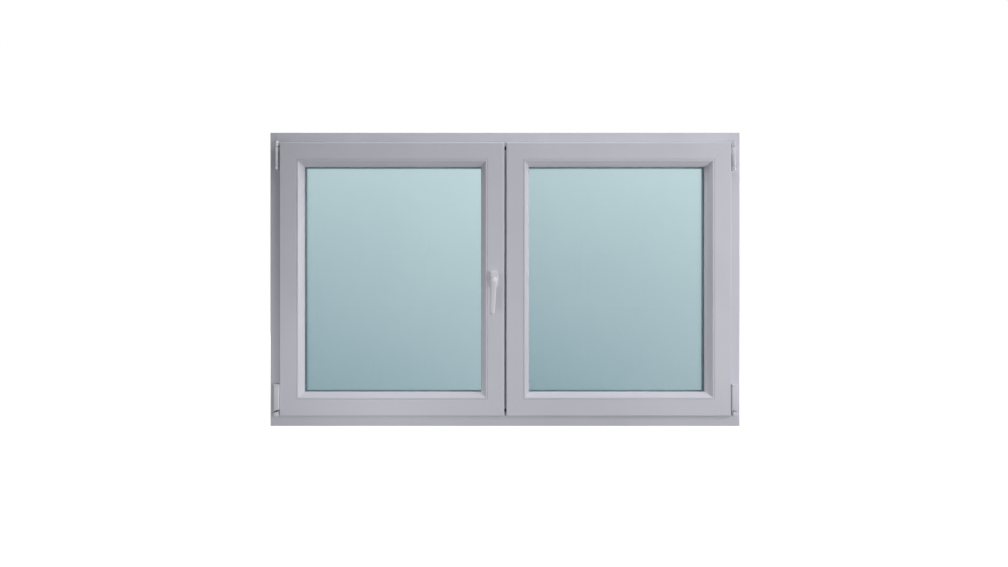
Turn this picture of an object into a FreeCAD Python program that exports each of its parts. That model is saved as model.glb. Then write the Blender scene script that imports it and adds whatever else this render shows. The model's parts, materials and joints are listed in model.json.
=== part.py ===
import FreeCAD, Part
import math
import os
import re
import Sketcher

# Two-leaf PVC-U window, seen from the room: a tilt-and-turn leaf with a handle on the left and
# a turn-only leaf with a floating mullion on the right. X runs across, Z is up and the room is
# on the -Y side. The origin is the middle of the frame's underside. Sizes are in millimetres.

Vector = FreeCAD.Vector
Rotation = FreeCAD.Rotation
doc = FreeCAD.newDocument("two_leaf_window")
sheet = doc.addObject("Spreadsheet::Sheet", "dim")
derived = doc.addObject("App::VarSet", "pos")
paths = {}

DRIVING = [
    # outer frame
    ("frame_width", 1600), ("frame_height", 1000), ("frame_depth", 70),
    ("frame_base", 47), ("upstand_rise", 20), ("upstand_depth", 17),
    ("profile_wall", 3), ("front_chamber", 10), ("steel_chamber", 27),
    ("steel_wall", 1.5), ("steel_clearance", 0.3), ("steel_setback", 75),
    ("edge_round", 1.5), ("joint_round", 1.4), ("flange_round", 3),
    # leaves
    ("overlap", 8), ("flange_reach", 20), ("flange_depth", 17), ("seal_gap", 3),
    ("face_width", 57), ("bead_width", 20), ("meeting_gap", 7),
    # hardware groove round each leaf
    ("groove_offset", 13), ("groove_width", 16), ("groove_depth", 12), ("channel_width", 12),
    ("plate_thickness", 2.5), ("plate_clearance", 0.2),
    # glazing
    ("glass_setback", 24), ("unit_thickness", 24), ("pane_thickness", 4), ("bead_gasket", 3),
    ("lip_slope", 8), ("bead_land", 5.5), ("bead_nose", 4), ("bead_foot_width", 3), ("bead_foot_depth", 3.8),
    ("bead_foot_inset", 5), ("foot_clearance", 0.4), ("glass_clearance", 5),
    ("gasket_grip", 7), ("gasket_lip", 0.8), ("spacer_inset", 3), ("spacer_height", 6.5),
    ("block_length", 100), ("block_place", 150),
    # seals
    ("frame_seal_width", 5), ("frame_seal_inset", 1.5), ("frame_seal_thickness", 2.6),
    ("flange_seal_width", 5), ("flange_seal_inset", 2), ("flange_seal_thickness", 2.3),
    # hinge side
    ("pin_inset", 26.5), ("pin_stand_off", 12), ("tilt_height", 45), ("bearing_radius", 5.5),
    ("stay_bearing_length", 74), ("stay_joint_drop", 52), ("stay_eye_length", 19),
    ("stay_pin_radius", 3), ("turning_clearance", 0.3), ("joint_clearance", 0.5),
    ("strap_thickness", 2.2), ("strap_height", 14),
    ("band_bottom", 60), ("band_length", 86), ("barrel_radius", 7), ("cover_margin", 1.5),
    ("cover_gap", 0.5), ("cover_cap", 5), ("leaf_plate", 2.4),
    ("bearing_bottom", 40), ("bearing_height", 12), ("socket_radius", 9), ("cup_radius", 6.5),
    ("trunnion_radius", 2.6), ("trunnion_length", 8.6),
    ("stem_radius", 2.2), ("cap_margin", 0.7), ("cap_height", 17), ("cap_slope", 3.5),
    ("screw_radius", 2), ("screw_tip_gap", 0.8), ("screw_first", 12), ("screw_pitch", 28),
    # stay arm
    ("arm_reach", 400), ("arm_width", 12), ("arm_thickness", 4), ("arm_lift", 2.6),
    ("arm_pin_radius", 3.5), ("arm_pin_length", 12), ("slot_travel", 14), ("slot_clearance", 1.1),
    ("guide_end", 20), ("top_band_reach", 150), ("top_band_foot", 60),
    # handle and drive
    ("backset_face", 35), ("rosette_width", 28), ("rosette_height", 57), ("rosette_depth", 10),
    ("rosette_round", 3), ("neck_radius", 8), ("grip_stand_off", 40), ("grip_thickness", 12),
    ("grip_width", 20), ("grip_tip_width", 16), ("grip_length", 117), ("grip_round", 5),
    ("grip_drift", 8.5), ("spindle_side", 7),
    ("spindle_length", 44), ("spindle_hole", 6), ("handle_screw_pitch", 43),
    ("handle_screw_radius", 2.4), ("handle_screw_length", 18), ("gearbox_height", 120),
    ("gearbox_depth", 19), ("gearbox_thickness", 11.4), ("rod_width", 11.4),
    ("rod_thickness", 2.8), ("rod_travel", 36), ("cam_radius", 4), ("cam_height", 9),
    ("lock_rod_margin", 90), ("cam_margin", 130), ("top_cam_place", 150), ("top_rod_length", 260),
    ("keep_thickness", 1.5), ("keep_lip", 2), ("keep_length", 60),
    # floating mullion and its bolts
    ("mullion_reach", 35), ("mullion_flange", 20), ("mullion_cover", 8), ("mullion_trim", 2),
    ("cap_block_height", 10), ("bolt_length", 240), ("bolt_thickness", 5), ("bolt_margin", 2),
    ("bolt_tip_width", 7), ("bolt_throw", 20), ("bolt_hole_radius", 5), ("bolt_hole_depth", 12),
    # wall fixings
    ("fixing_radius", 3.75), ("fixing_margin", 150),
]

for row, (name, value) in enumerate(DRIVING, start=1):
    sheet.set(f"A{row}", name)
    sheet.set(f"B{row}", str(value))
    sheet.setAlias(f"B{row}", name)
    paths[name] = f"dim.{name}"
doc.recompute()


def full(text):
    """Write each named size in an expression with the object that holds it."""
    return re.sub(r"[a-z_]+", lambda word: paths.get(word.group(0), word.group(0)), text)


def bind(target, prop, text):
    target.setExpression(prop, full(text))


def derive(name, text):
    """Keep one worked-out size or place as a property that other expressions can use."""
    derived.addProperty("App::PropertyFloat", name, "derived")
    bind(derived, name, text)
    paths[name] = f"pos.{name}"


# Depths, from the room (-Y) to the outside (+Y).
derive("room_face", "-frame_depth / 2")
derive("rear_face", "frame_depth / 2")
derive("upstand_face", "rear_face - upstand_depth")
derive("flange_back", "room_face - seal_gap")
derive("sash_front", "flange_back - flange_depth")
derive("sash_back", "upstand_face - seal_gap")
derive("groove_axis", "flange_back + groove_offset")
derive("glass_front", "sash_front + glass_setback")
derive("glass_back", "glass_front + unit_thickness")
derive("bead_back", "glass_front - bead_gasket")
derive("lip_front", "glass_back + bead_gasket")
derive("steel_front", "room_face + 2 * profile_wall + front_chamber")
derive("steel_back", "steel_front + steel_chamber")
# Distances in from the frame's outer edge, and from a leaf's flange edge.
derive("flange_edge", "frame_base - overlap")
derive("body_edge", "flange_edge + flange_reach")
derive("frame_section", "frame_base + upstand_rise")
derive("sash_section", "face_width + bead_width")
derive("channel_floor", "flange_reach + groove_depth")
derive("pane_edge", "face_width + glass_clearance")
# The leaves and their meeting line.
derive("mid_height", "frame_height / 2")
derive("leaf_width", "(frame_width - 2 * flange_edge - meeting_gap) / 2")
derive("leaf_height", "frame_height - 2 * flange_edge")
derive("leaf_middle", "(leaf_width + meeting_gap) / 2")
derive("meeting_body", "meeting_gap / 2 + flange_reach")
derive("body_top", "frame_height - body_edge")
derive("rebate_top", "frame_height - frame_base")
# The turning axis of the left leaf and the heights of its hinges.
derive("axis_x", "-frame_width / 2 + pin_inset")
derive("axis_y", "room_face - pin_stand_off")
derive("body_side", "-frame_width / 2 + body_edge")
derive("cover_radius", "pin_stand_off - cover_margin")
derive("cap_radius", "pin_stand_off - cap_margin")
derive("flange_side", "-frame_width / 2 + flange_edge")
derive("stay_joint", "frame_height - stay_joint_drop")
derive("band_top", "band_bottom + band_length")
derive("strap_back", "room_face - (seal_gap - strap_thickness) / 2")
derive("strap_front", "strap_back - strap_thickness")
# The handle, its drive and the mullion.
derive("spindle_x", "-meeting_gap / 2 - backset_face")
derive("mullion_face", "meeting_body - mullion_reach")
doc.recompute()


# ---------------------------------------------------------------- building helpers

def origin_plane(body, role):
    return [item for item in body.Origin.OriginFeatures if item.Role == role][0]


def new_sketch(body, role, offset="0"):
    """Start a sketch on an origin plane of the body, moved along the plane's normal."""
    sketch = body.newObject("Sketcher::SketchObject", body.Name + "_sketch")
    sketch.AttachmentSupport = [(origin_plane(body, role), "")]
    sketch.MapMode = "FlatFace"
    bind(sketch, "AttachmentOffset.Base.z", offset)
    return sketch


def pin_down(sketch, geometry, corner, place, guess):
    """Hold one point of a sketch at two named distances from the sketch's origin."""
    for kind, text, start in zip(("DistanceX", "DistanceY"), place, guess):
        index = sketch.addConstraint(Sketcher.Constraint(kind, geometry, corner, start))
        bind(sketch, f"Constraints[{index}]", text)


def closed_loop(sketch, places):
    """Draw a closed outline of straight lines through the named places."""
    count = len(places)
    turn = 2 * math.pi / count
    guesses = [(10 * math.cos(i * turn), 10 * math.sin(i * turn)) for i in range(count)]
    lines = []
    for i in range(count):
        start = Vector(*guesses[i], 0)
        end = Vector(*guesses[(i + 1) % count], 0)
        lines.append(sketch.addGeometry(Part.LineSegment(start, end), False))
    for i in range(count):
        following = lines[(i + 1) % count]
        sketch.addConstraint(Sketcher.Constraint("Coincident", lines[i], 2, following, 1))
        pin_down(sketch, lines[i], 1, places[i], guesses[i])


def rectangle(sketch, low, high):
    closed_loop(sketch, [low, (high[0], low[1]), high, (low[0], high[1])])


def circle(sketch, centre, radius):
    shape = Part.Circle(Vector(0, 0, 0), Vector(0, 0, 1), 1)
    geometry = sketch.addGeometry(shape, False)
    pin_down(sketch, geometry, 3, centre, (0, 0))
    index = sketch.addConstraint(Sketcher.Constraint("Radius", geometry, 1))
    bind(sketch, f"Constraints[{index}]", radius)


def new_body(label):
    body = doc.addObject("PartDesign::Body", label)
    body.Label = label
    return body


def pad(body, sketch, length, centred=False, backwards=False):
    feature = body.newObject("PartDesign::Pad", body.Name + "_pad")
    feature.Profile = sketch
    feature.SideType = "Symmetric" if centred else "One side"
    feature.Reversed = backwards
    bind(feature, "Length", length)
    doc.recompute()
    return feature


def pocket(body, sketch, length=None, centred=False, backwards=False):
    """Cut a sketch through the body, and make sure that the cut took something away."""
    before = body.Shape.Volume
    feature = body.newObject("PartDesign::Pocket", body.Name + "_pocket")
    feature.Profile = sketch
    feature.SideType = "Symmetric" if centred else "One side"
    feature.Reversed = backwards
    if length:
        bind(feature, "Length", length)
    else:
        feature.Type = "ThroughAll"
    doc.recompute()
    if body.Shape.Volume >= before:
        raise RuntimeError(f"{body.Label}: a pocket cut nothing")
    return feature


def value(name):
    return getattr(derived, name) if paths[name].startswith("pos.") else sheet.get(name)


def round_edges(body, names, radius):
    tip = body.Tip
    fillet = body.newObject("PartDesign::Fillet", body.Name + "_round")
    fillet.Base = (tip, names)
    bind(fillet, "Radius", radius)
    doc.recompute()


def round_long_edges(body, corners, radius):
    """Round the edges that run along X through the given (y, z) corners of a bar."""
    names = []
    for number, edge in enumerate(body.Tip.Shape.Edges, start=1):
        ends = [vertex.Point for vertex in edge.Vertexes]
        along = len(ends) == 2 and abs(ends[0].x - ends[1].x) > 1
        for y, z in corners:
            if along and all(abs(p.y - y) < 0.01 and abs(p.z - z) < 0.01 for p in ends):
                names.append(f"Edge{number}")
    round_edges(body, names, radius)


def mitre(body, length, reach):
    """Cut both ends of a bar at 45 degrees, from its outer edge inwards."""
    sketch = new_sketch(body, "XZ_Plane")
    for side in ("-", ""):
        tip = (f"{side}({length}) / 2", "0")
        inner = (f"{side}(({length}) / 2 - ({reach}))", reach)
        closed_loop(sketch, [tip, inner, (tip[0], reach)])
    pocket(body, sketch, centred=True)


def plain_bar(label, loops, length):
    """Extrude a hollow section along X; Y is depth and Z is the distance in from the edge."""
    body = new_body(label)
    sketch = new_sketch(body, "YZ_Plane")
    for loop in loops:
        closed_loop(sketch, loop)
    pad(body, sketch, length, centred=True)
    return body


SIDES = {"bottom": 0, "top": 180, "left": 90, "right": -90}


def place_bar(body, side, middle, width, height):
    """Put a bar on one side of a ring of the given size, with its section facing inwards."""
    body.Placement = FreeCAD.Placement(Vector(0, 0, 0), Rotation(Vector(0, 1, 0), SIDES[side]))
    shift = {"left": f"-({width}) / 2", "right": f"({width}) / 2"}.get(side, "0")
    rise = {"bottom": f"-({height}) / 2", "top": f"({height}) / 2"}.get(side, "0")
    bind(body, "Placement.Base.x", f"{middle} + {shift}")
    bind(body, "Placement.Base.z", f"mid_height + {rise}")


def along(side, width, height):
    return width if side in ("bottom", "top") else height


def box(name, x, y, z):
    solid = doc.addObject("Part::Box", name)
    for axis, size, span in zip("xyz", ("Length", "Width", "Height"), (x, y, z)):
        bind(solid, f"Placement.Base.{axis}", span[0])
        bind(solid, size, f"({span[1]}) - ({span[0]})")
    return solid


TURNS = {"z": Rotation(), "y": Rotation(Vector(1, 0, 0), -90), "x": Rotation(Vector(0, 1, 0), 90)}


def cylinder(name, axis, start, radius, length):
    solid = doc.addObject("Part::Cylinder", name)
    solid.Placement = FreeCAD.Placement(Vector(0, 0, 0), TURNS[axis])
    for letter, text in zip("xyz", start):
        bind(solid, f"Placement.Base.{letter}", text)
    bind(solid, "Radius", radius)
    bind(solid, "Height", length)
    return solid


def fuse(label, pieces):
    whole = doc.addObject("Part::MultiFuse", label)
    whole.Shapes = pieces
    whole.Refine = True
    whole.Label = label
    return whole


def cut(label, base, tools):
    """Take the tools away from the base piece."""
    tool = tools[0] if len(tools) == 1 else fuse(label + "_tools", tools)
    rest = doc.addObject("Part::Cut", label)
    rest.Base = base
    rest.Tool = tool
    rest.Refine = True
    rest.Label = label
    return rest


def group(label, pieces):
    whole = doc.addObject("Part::Compound", label)
    whole.Links = pieces
    whole.Label = label
    return whole


def mirrored(label, source):
    """Copy a left-hand piece to the right-hand side of the window."""
    copy = doc.addObject("Part::Mirroring", label)
    copy.Source = source
    copy.Normal = Vector(1, 0, 0)
    copy.Label = label
    return copy


def flat_ring(label, middle, width, height, inset, band, low, high):
    """A rectangular ring that lies in the window's plane, from depth low to depth high."""
    body = new_body(label)
    sketch = new_sketch(body, "XZ_Plane", f"-({low})")
    for inward in (inset, f"{inset} + {band}"):
        across = f"(({width}) / 2 - ({inward}))"
        upward = f"(({height}) / 2 - ({inward}))"
        rectangle(sketch, (f"-{across}", f"-{upward}"), (across, upward))
    pad(body, sketch, f"{high} - ({low})", backwards=True)
    bind(body, "Placement.Base.x", middle)
    bind(body, "Placement.Base.z", "mid_height")
    return body


def chamber(low, high):
    return [low, (high[0], low[1]), high, (low[0], high[1])]


# ---------------------------------------------------------------- outer frame

FRAME_LOOPS = [
    [("room_face", "0"), ("rear_face", "0"), ("rear_face", "frame_section"),
     ("upstand_face", "frame_section"), ("upstand_face", "frame_base"), ("room_face", "frame_base")],
    chamber(("room_face + profile_wall", "profile_wall"),
            ("steel_front - profile_wall", "frame_base - profile_wall")),
    chamber(("steel_front", "profile_wall"), ("steel_back", "frame_base - profile_wall")),
    chamber(("steel_back + profile_wall", "profile_wall"),
            ("rear_face - profile_wall", "frame_base - profile_wall")),
    chamber(("upstand_face + profile_wall", "frame_base"),
            ("rear_face - profile_wall", "frame_section - profile_wall")),
]
FRAME_SIZE = ("0", "frame_width", "frame_height")


def frame_bar(label, side):
    length = along(side, "frame_width", "frame_height")
    bar = plain_bar(label, FRAME_LOOPS, length)
    front = value("room_face")
    round_long_edges(bar, [(front, 0), (front, value("frame_base"))], "edge_round")
    mitre(bar, length, "frame_section + 5")
    place_bar(bar, side, *FRAME_SIZE)
    return bar


def tube_loops(low, high):
    """The section of a rectangular steel tube that slides into a chamber."""
    gap = "steel_clearance"
    skin = "(steel_clearance + steel_wall)"
    return [chamber((f"{low[0]} + {inset}", f"{low[1]} + {inset}"),
                    (f"{high[0]} - {inset}", f"{high[1]} - {inset}")) for inset in (gap, skin)]


FRAME_TUBE = tube_loops(("steel_front", "profile_wall"), ("steel_back", "frame_base - profile_wall"))


def bore_for_wall_fixings(bar):
    """Two holes straight through a jamb or its steel, for the screws into the wall."""
    sketch = new_sketch(bar, "XY_Plane")
    for side in ("-", ""):
        circle(sketch, (f"{side}(frame_height / 2 - fixing_margin)", "(steel_front + steel_back) / 2"),
               "fixing_radius")
    pocket(bar, sketch, centred=True)


SCREW_HEIGHTS = ["stay_joint - stay_bearing_length + screw_first",
                 "stay_joint - stay_bearing_length + screw_first + screw_pitch"]


def drill_for_hinges(bar, turned):
    """Pilot holes for the stay bearing's screws, through the jamb's room-side walls."""
    sketch = new_sketch(bar, "XZ_Plane", "-steel_front")
    for height in SCREW_HEIGHTS:
        circle(sketch, (f"{turned}({height} - mid_height)", "pin_inset"), "screw_radius")
    pocket(bar, sketch, backwards=True)


frame_nodes = [frame_bar("frame_sill", "bottom"), frame_bar("frame_head", "top")]
for side, turned in (("left", "-"), ("right", "")):
    jamb = frame_bar(f"frame_jamb_{side}", side)
    bore_for_wall_fixings(jamb)
    drill_for_hinges(jamb, turned)
    frame_nodes.append(jamb)

bolt_x = "(mullion_face + bolt_thickness / 2 + 1)"
for bar, sign in ((frame_nodes[0], ""), (frame_nodes[1], "-")):
    hole = new_sketch(bar, "XY_Plane", "frame_base - bolt_hole_depth")
    circle(hole, (f"{sign}{bolt_x}", "groove_axis"), "bolt_hole_radius")
    pocket(bar, hole, backwards=True)

frame_tubes = []
for side in SIDES:
    length = along(side, "frame_width", "frame_height") + " - 2 * steel_setback"
    tube = plain_bar(f"frame_tube_{side}", FRAME_TUBE, length)
    if side in ("left", "right"):
        bore_for_wall_fixings(tube)
    place_bar(tube, side, *FRAME_SIZE)
    frame_tubes.append(tube)
frame_steels = group("frame_steels", frame_tubes)

frame_seal = flat_ring("frame_seal", "0", "frame_width", "frame_height",
                       "body_edge + frame_seal_inset", "frame_seal_width",
                       "upstand_face - frame_seal_thickness", "upstand_face")

# ---------------------------------------------------------------- leaves

wall = "profile_wall"
inner_floor = f"channel_floor + {wall}"
groove_side = "(groove_axis + groove_width / 2)"
channel_side = "(groove_axis + channel_width / 2)"
groove_near = "(groove_axis - groove_width / 2)"
channel_near = "(groove_axis - channel_width / 2)"
foot_low = "(sash_front + bead_foot_inset - foot_clearance)"
foot_high = "(sash_front + bead_foot_inset + bead_foot_width + foot_clearance)"
foot_floor = "(face_width - bead_foot_depth - foot_clearance)"

SASH_LOOPS = [
    [("sash_front", "0"), ("flange_back", "0"), ("flange_back", "flange_reach"),
     (groove_near, "flange_reach"), (groove_near, "flange_reach + plate_thickness"),
     (channel_near, "flange_reach + plate_thickness"), (channel_near, "channel_floor"),
     (channel_side, "channel_floor"), (channel_side, "flange_reach + plate_thickness"),
     (groove_side, "flange_reach + plate_thickness"), (groove_side, "flange_reach"),
     ("sash_back", "flange_reach"), ("sash_back", "sash_section - lip_slope"),
     ("lip_front", "sash_section"),
     ("lip_front", "face_width"), (foot_high, "face_width"), (foot_high, foot_floor),
     (foot_low, foot_floor), (foot_low, "face_width"), ("sash_front", "face_width")],
    chamber((f"sash_front + {wall}", wall), (f"flange_back - {wall}", f"{foot_floor} - {wall}")),
    chamber(("flange_back", inner_floor), (groove_side, f"face_width - {wall}")),
    chamber((f"{groove_side} + {wall}", inner_floor), (f"sash_back - {wall}", f"face_width - {wall}")),
    chamber((f"{groove_side} + {wall}", f"flange_reach + {wall}"),
            (f"sash_back - {wall}", "channel_floor")),
    chamber((f"lip_front + {wall}", "face_width"),
            (f"sash_back - {wall}", f"sash_section - lip_slope - {wall}")),
]

SASH_TUBE = tube_loops((f"{groove_side} + {wall}", inner_floor),
                       (f"sash_back - {wall}", f"face_width - {wall}"))

BEAD_LOOP = [
    ("sash_front", "face_width"), ("sash_front", "face_width + bead_land"),
    ("bead_back - bead_nose", "sash_section"), ("bead_back", "sash_section"),
    ("bead_back", "face_width"), ("sash_front + bead_foot_inset + bead_foot_width", "face_width"),
    ("sash_front + bead_foot_inset + bead_foot_width", "face_width - bead_foot_depth"),
    ("sash_front + bead_foot_inset", "face_width - bead_foot_depth"),
    ("sash_front + bead_foot_inset", "face_width"),
]


def sash_bar(label, side, middle):
    length = along(side, "leaf_width", "leaf_height")
    bar = plain_bar(label, SASH_LOOPS, length)
    front = value("sash_front")
    round_long_edges(bar, [(front, 0)], "flange_round")
    round_long_edges(bar, [(front, value("face_width"))], "joint_round")
    mitre(bar, length, "sash_section + 5")
    place_bar(bar, side, middle, "leaf_width", "leaf_height")
    return bar


def bead_bar(label, side, middle):
    length = along(side, "leaf_width", "leaf_height")
    bar = plain_bar(label, [BEAD_LOOP], length)
    front = value("sash_front")
    shoulder = value("face_width") + value("bead_land")
    nose = value("bead_back") - value("bead_nose")
    round_long_edges(bar, [(front, value("face_width"))], "joint_round")
    round_long_edges(bar, [(front, shoulder), (nose, value("sash_section"))], "edge_round")
    mitre(bar, length, "sash_section + 5")
    place_bar(bar, side, middle, "leaf_width", "leaf_height")
    return bar


def pane(label, middle, low, high):
    across = "(leaf_width / 2 - pane_edge)"
    upward = "(leaf_height / 2 - pane_edge)"
    return box(label, (f"{middle} - {across}", f"{middle} + {across}"), (low, high),
               (f"mid_height - {upward}", f"mid_height + {upward}"))


def glazing(leaf, middle):
    """The sealed double unit of one leaf, with its spacer, blocks, beads and gaskets."""
    size = (middle, "leaf_width", "leaf_height")
    inner = pane(f"{leaf}_pane_inner", middle, "glass_front", "glass_front + pane_thickness")
    outer = pane(f"{leaf}_pane_outer", middle, "glass_back - pane_thickness", "glass_back")
    spacer = flat_ring(f"{leaf}_spacer", *size, "pane_edge + spacer_inset", "spacer_height",
                       "glass_front + pane_thickness", "glass_back - pane_thickness")
    lips = [flat_ring(f"{leaf}_lip_{name}", *size, "sash_section - gasket_grip",
                      "gasket_grip + gasket_lip", low, high)
            for name, low, high in (("room", "bead_back", "glass_front"),
                                    ("outside", "glass_back", "lip_front"))]
    blocks = []
    for height in ("flange_edge + face_width", "frame_height - flange_edge - pane_edge"):
        for sign in ("-", "+"):
            centre = f"{middle} {sign} (leaf_width / 2 - block_place)"
            blocks.append(box(f"{leaf}_block", (f"{centre} - block_length / 2",
                                                f"{centre} + block_length / 2"),
                              ("glass_front", "glass_back"), (height, f"{height} + glass_clearance")))
    return [inner, outer, spacer,
            group(f"{leaf}_glazing_gasket", lips),
            group(f"{leaf}_setting_blocks", blocks),
            group(f"{leaf}_bead_rails", [bead_bar(f"{leaf}_bead_{side}", side, middle)
                                         for side in ("bottom", "top")]),
            group(f"{leaf}_bead_stiles", [bead_bar(f"{leaf}_bead_{side}", side, middle)
                                          for side in ("left", "right")])]


def sash_tube(name, side, middle):
    length = along(side, "leaf_width", "leaf_height") + " - 2 * (sash_section + 8)"
    tube = plain_bar(name, SASH_TUBE, length)
    place_bar(tube, side, middle, "leaf_width", "leaf_height")
    return tube


def flange_seal(leaf, middle, hinge):
    """The seal on the back of the flange, cut away where the hinge straps pass."""
    ring = flat_ring(f"{leaf}_seal_ring", middle, "leaf_width", "leaf_height",
                     "flange_seal_inset", "flange_seal_width",
                     "flange_back", "flange_back + flange_seal_thickness")
    near = f"{hinge}(flange_side - 1)"
    far = f"{hinge}(body_side + 1)"
    across = (near, far) if hinge == "" else (far, near)
    notches = [box(f"{leaf}_notch_low", across, ("flange_back - 1", "room_face"),
                   ("band_bottom - 2", "band_top + 2")),
               box(f"{leaf}_notch_high", across, ("flange_back - 1", "room_face"),
                   ("body_top", "frame_height - flange_edge"))]
    return cut(f"{leaf}_flange_seal", ring, notches)


LEFT = "(-leaf_middle)"
RIGHT = "leaf_middle"
active_nodes = [sash_bar("active_rail_bottom", "bottom", LEFT),
                sash_bar("active_rail_top", "top", LEFT),
                sash_bar("active_stile_hinge", "left", LEFT)]
lock_stile = sash_bar("active_stile_lock", "right", LEFT)
active_nodes.append(lock_stile)
active_nodes.append(group("active_steels", [sash_tube(f"active_tube_{side}", side, LEFT)
                                            for side in SIDES]))
active_nodes.append(flange_seal("active", LEFT, ""))
active_nodes += glazing("active", LEFT)

passive_nodes = [sash_bar("passive_rail_bottom", "bottom", RIGHT),
                 sash_bar("passive_rail_top", "top", RIGHT),
                 sash_bar("passive_stile_meeting", "left", RIGHT),
                 sash_bar("passive_stile_hinge", "right", RIGHT)]
passive_nodes.append(flange_seal("passive", RIGHT, "-"))
passive_nodes += glazing("passive", RIGHT)

# Routing in the lock stile: the spindle and screw holes, and the gearbox's slot.
holes = new_sketch(lock_stile, "XZ_Plane", f"-{channel_near}")
circle(holes, ("0", "backset_face"), "spindle_hole")
for sign in ("-", ""):
    circle(holes, (f"{sign}handle_screw_pitch / 2", "backset_face"),
           "handle_screw_radius + joint_clearance / 2")
pocket(lock_stile, holes, backwards=True)
slot = new_sketch(lock_stile, "XY_Plane", "channel_floor - 1")
rectangle(slot, ("-gearbox_height / 2 - 1", channel_near), ("gearbox_height / 2 + 1", channel_side))
pocket(lock_stile, slot, "profile_wall + 2", backwards=True)

# ---------------------------------------------------------------- drive of the active leaf

lock_x = "(-meeting_body)"
plate_back = f"({lock_x} - plate_thickness)"
groove_span = (f"{groove_near} + plate_clearance", f"{groove_side} - plate_clearance")
rod_span = ("groove_axis - rod_width / 2", "groove_axis + rod_width / 2")
lock_cam_heights = ["body_edge + cam_margin", "mid_height + gearbox_height", "body_top - cam_margin"]
cam_slot_radius = "(cam_radius + joint_clearance)"


def cam_slot(name, start, end, axis):
    """A round-ended slot that lets a cam run along its faceplate."""
    if axis == "z":
        ends = [cylinder(name, "x", (f"{plate_back} - 1", "groove_axis", place), cam_slot_radius,
                         "plate_thickness + 2") for place in (start, end)]
        middle = box(name, (f"{plate_back} - 1", f"{lock_x} + 1"),
                     (f"groove_axis - {cam_slot_radius}", f"groove_axis + {cam_slot_radius}"),
                     (start, end))
    else:
        ends = [cylinder(name, "z", (place, "groove_axis", "body_top - plate_thickness - 1"),
                         cam_slot_radius, "plate_thickness + 2") for place in (start, end)]
        middle = box(name, (start, end),
                     (f"groove_axis - {cam_slot_radius}", f"groove_axis + {cam_slot_radius}"),
                     ("body_top - plate_thickness - 1", "body_top + 1"))
    return fuse(name, ends + [middle])


faceplate = box("lock_plate_blank", (plate_back, lock_x), groove_span,
                ("body_edge + guide_end", "body_top - guide_end"))
lock_faceplate = cut("lock_faceplate", faceplate,
                     [cam_slot("lock_slot", height, f"{height} + rod_travel", "z")
                      for height in lock_cam_heights])
rod_front = f"({plate_back} - plate_clearance)"
rod_back = f"({rod_front} - rod_thickness)"
lock_strip = box("lock_strip", (rod_back, rod_front), rod_span,
                 ("body_edge + lock_rod_margin", "body_top - lock_rod_margin"))
lock_cams = [cylinder("lock_cam", "x", (f"{rod_front} - 1", "groove_axis", height), "cam_radius",
                      f"{lock_x} - {rod_front} + 1 + cam_height") for height in lock_cam_heights]
lock_rod = fuse("lock_rod", [lock_strip] + lock_cams)

gearbox_front = f"({rod_back} - plate_clearance)"
gearbox_case = box("gearbox_case", (f"{gearbox_front} - gearbox_depth", gearbox_front),
                   ("groove_axis - gearbox_thickness / 2", "groove_axis + gearbox_thickness / 2"),
                   ("mid_height - gearbox_height / 2", "mid_height + gearbox_height / 2"))
gearbox_bore = cylinder("gearbox_bore", "y",
                        ("spindle_x", "groove_axis - gearbox_thickness", "mid_height"),
                        "spindle_side * 0.7072 + joint_clearance", "2 * gearbox_thickness")
gearbox = cut("gearbox", gearbox_case, [gearbox_bore])

arm_pin_x = "(axis_x + arm_reach)"
top_cam_x = "(-meeting_body - top_cam_place)"
stay_slot_radius = "(arm_pin_radius + slot_clearance)"
guide_blank = box("guide_blank", ("body_side + guide_end", "-meeting_body - guide_end"), groove_span,
                  ("body_top - plate_thickness", "body_top"))
stay_slot_ends = [cylinder("stay_slot_end", "z", (place, "groove_axis", "body_top - plate_thickness - 1"),
                           stay_slot_radius, "plate_thickness + 2")
                  for place in (arm_pin_x, f"{arm_pin_x} - slot_travel")]
stay_slot_middle = box("stay_slot_middle", (f"{arm_pin_x} - slot_travel", arm_pin_x),
                       (f"groove_axis - {stay_slot_radius}", f"groove_axis + {stay_slot_radius}"),
                       ("body_top - plate_thickness - 1", "body_top + 1"))
stay_guide = cut("stay_guide", guide_blank,
                 stay_slot_ends + [stay_slot_middle,
                                   cam_slot("top_slot", f"{top_cam_x} - rod_travel", top_cam_x, "x")])
top_rod_top = "(body_top - plate_thickness - plate_clearance)"
top_strip = box("top_strip", (f"{top_cam_x} - top_rod_length / 2 + 40",
                              f"{top_cam_x} + top_rod_length / 2 - 20"),
                rod_span, (f"{top_rod_top} - rod_thickness", top_rod_top))
top_cam = cylinder("top_cam", "z", (top_cam_x, "groove_axis", f"{top_rod_top} - 1"), "cam_radius",
                   f"body_top - {top_rod_top} + 1 + cam_height")
top_rod = fuse("top_rod", [top_strip, top_cam])

# ---------------------------------------------------------------- handle

rosette_body = new_body("handle_rosette")
outline = new_sketch(rosette_body, "XZ_Plane")
rectangle(outline, ("-rosette_width / 2", "-rosette_height / 2"),
          ("rosette_width / 2", "rosette_height / 2"))
pad(rosette_body, outline, "rosette_depth")
rim = [f"Edge{number}" for number, edge in enumerate(rosette_body.Shape.Edges, start=1)
       if min(vertex.Y for vertex in edge.Vertexes) < -1]
round_edges(rosette_body, rim, "rosette_round")
bore = new_sketch(rosette_body, "XZ_Plane")
circle(bore, ("0", "0"), "neck_radius + joint_clearance")
for sign in ("-", ""):
    circle(bore, ("0", f"{sign}handle_screw_pitch / 2"), "handle_screw_radius + joint_clearance / 2")
pocket(rosette_body, bore, centred=True)
bind(rosette_body, "Placement.Base.x", "spindle_x")
bind(rosette_body, "Placement.Base.y", "sash_front")
bind(rosette_body, "Placement.Base.z", "mid_height")

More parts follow.
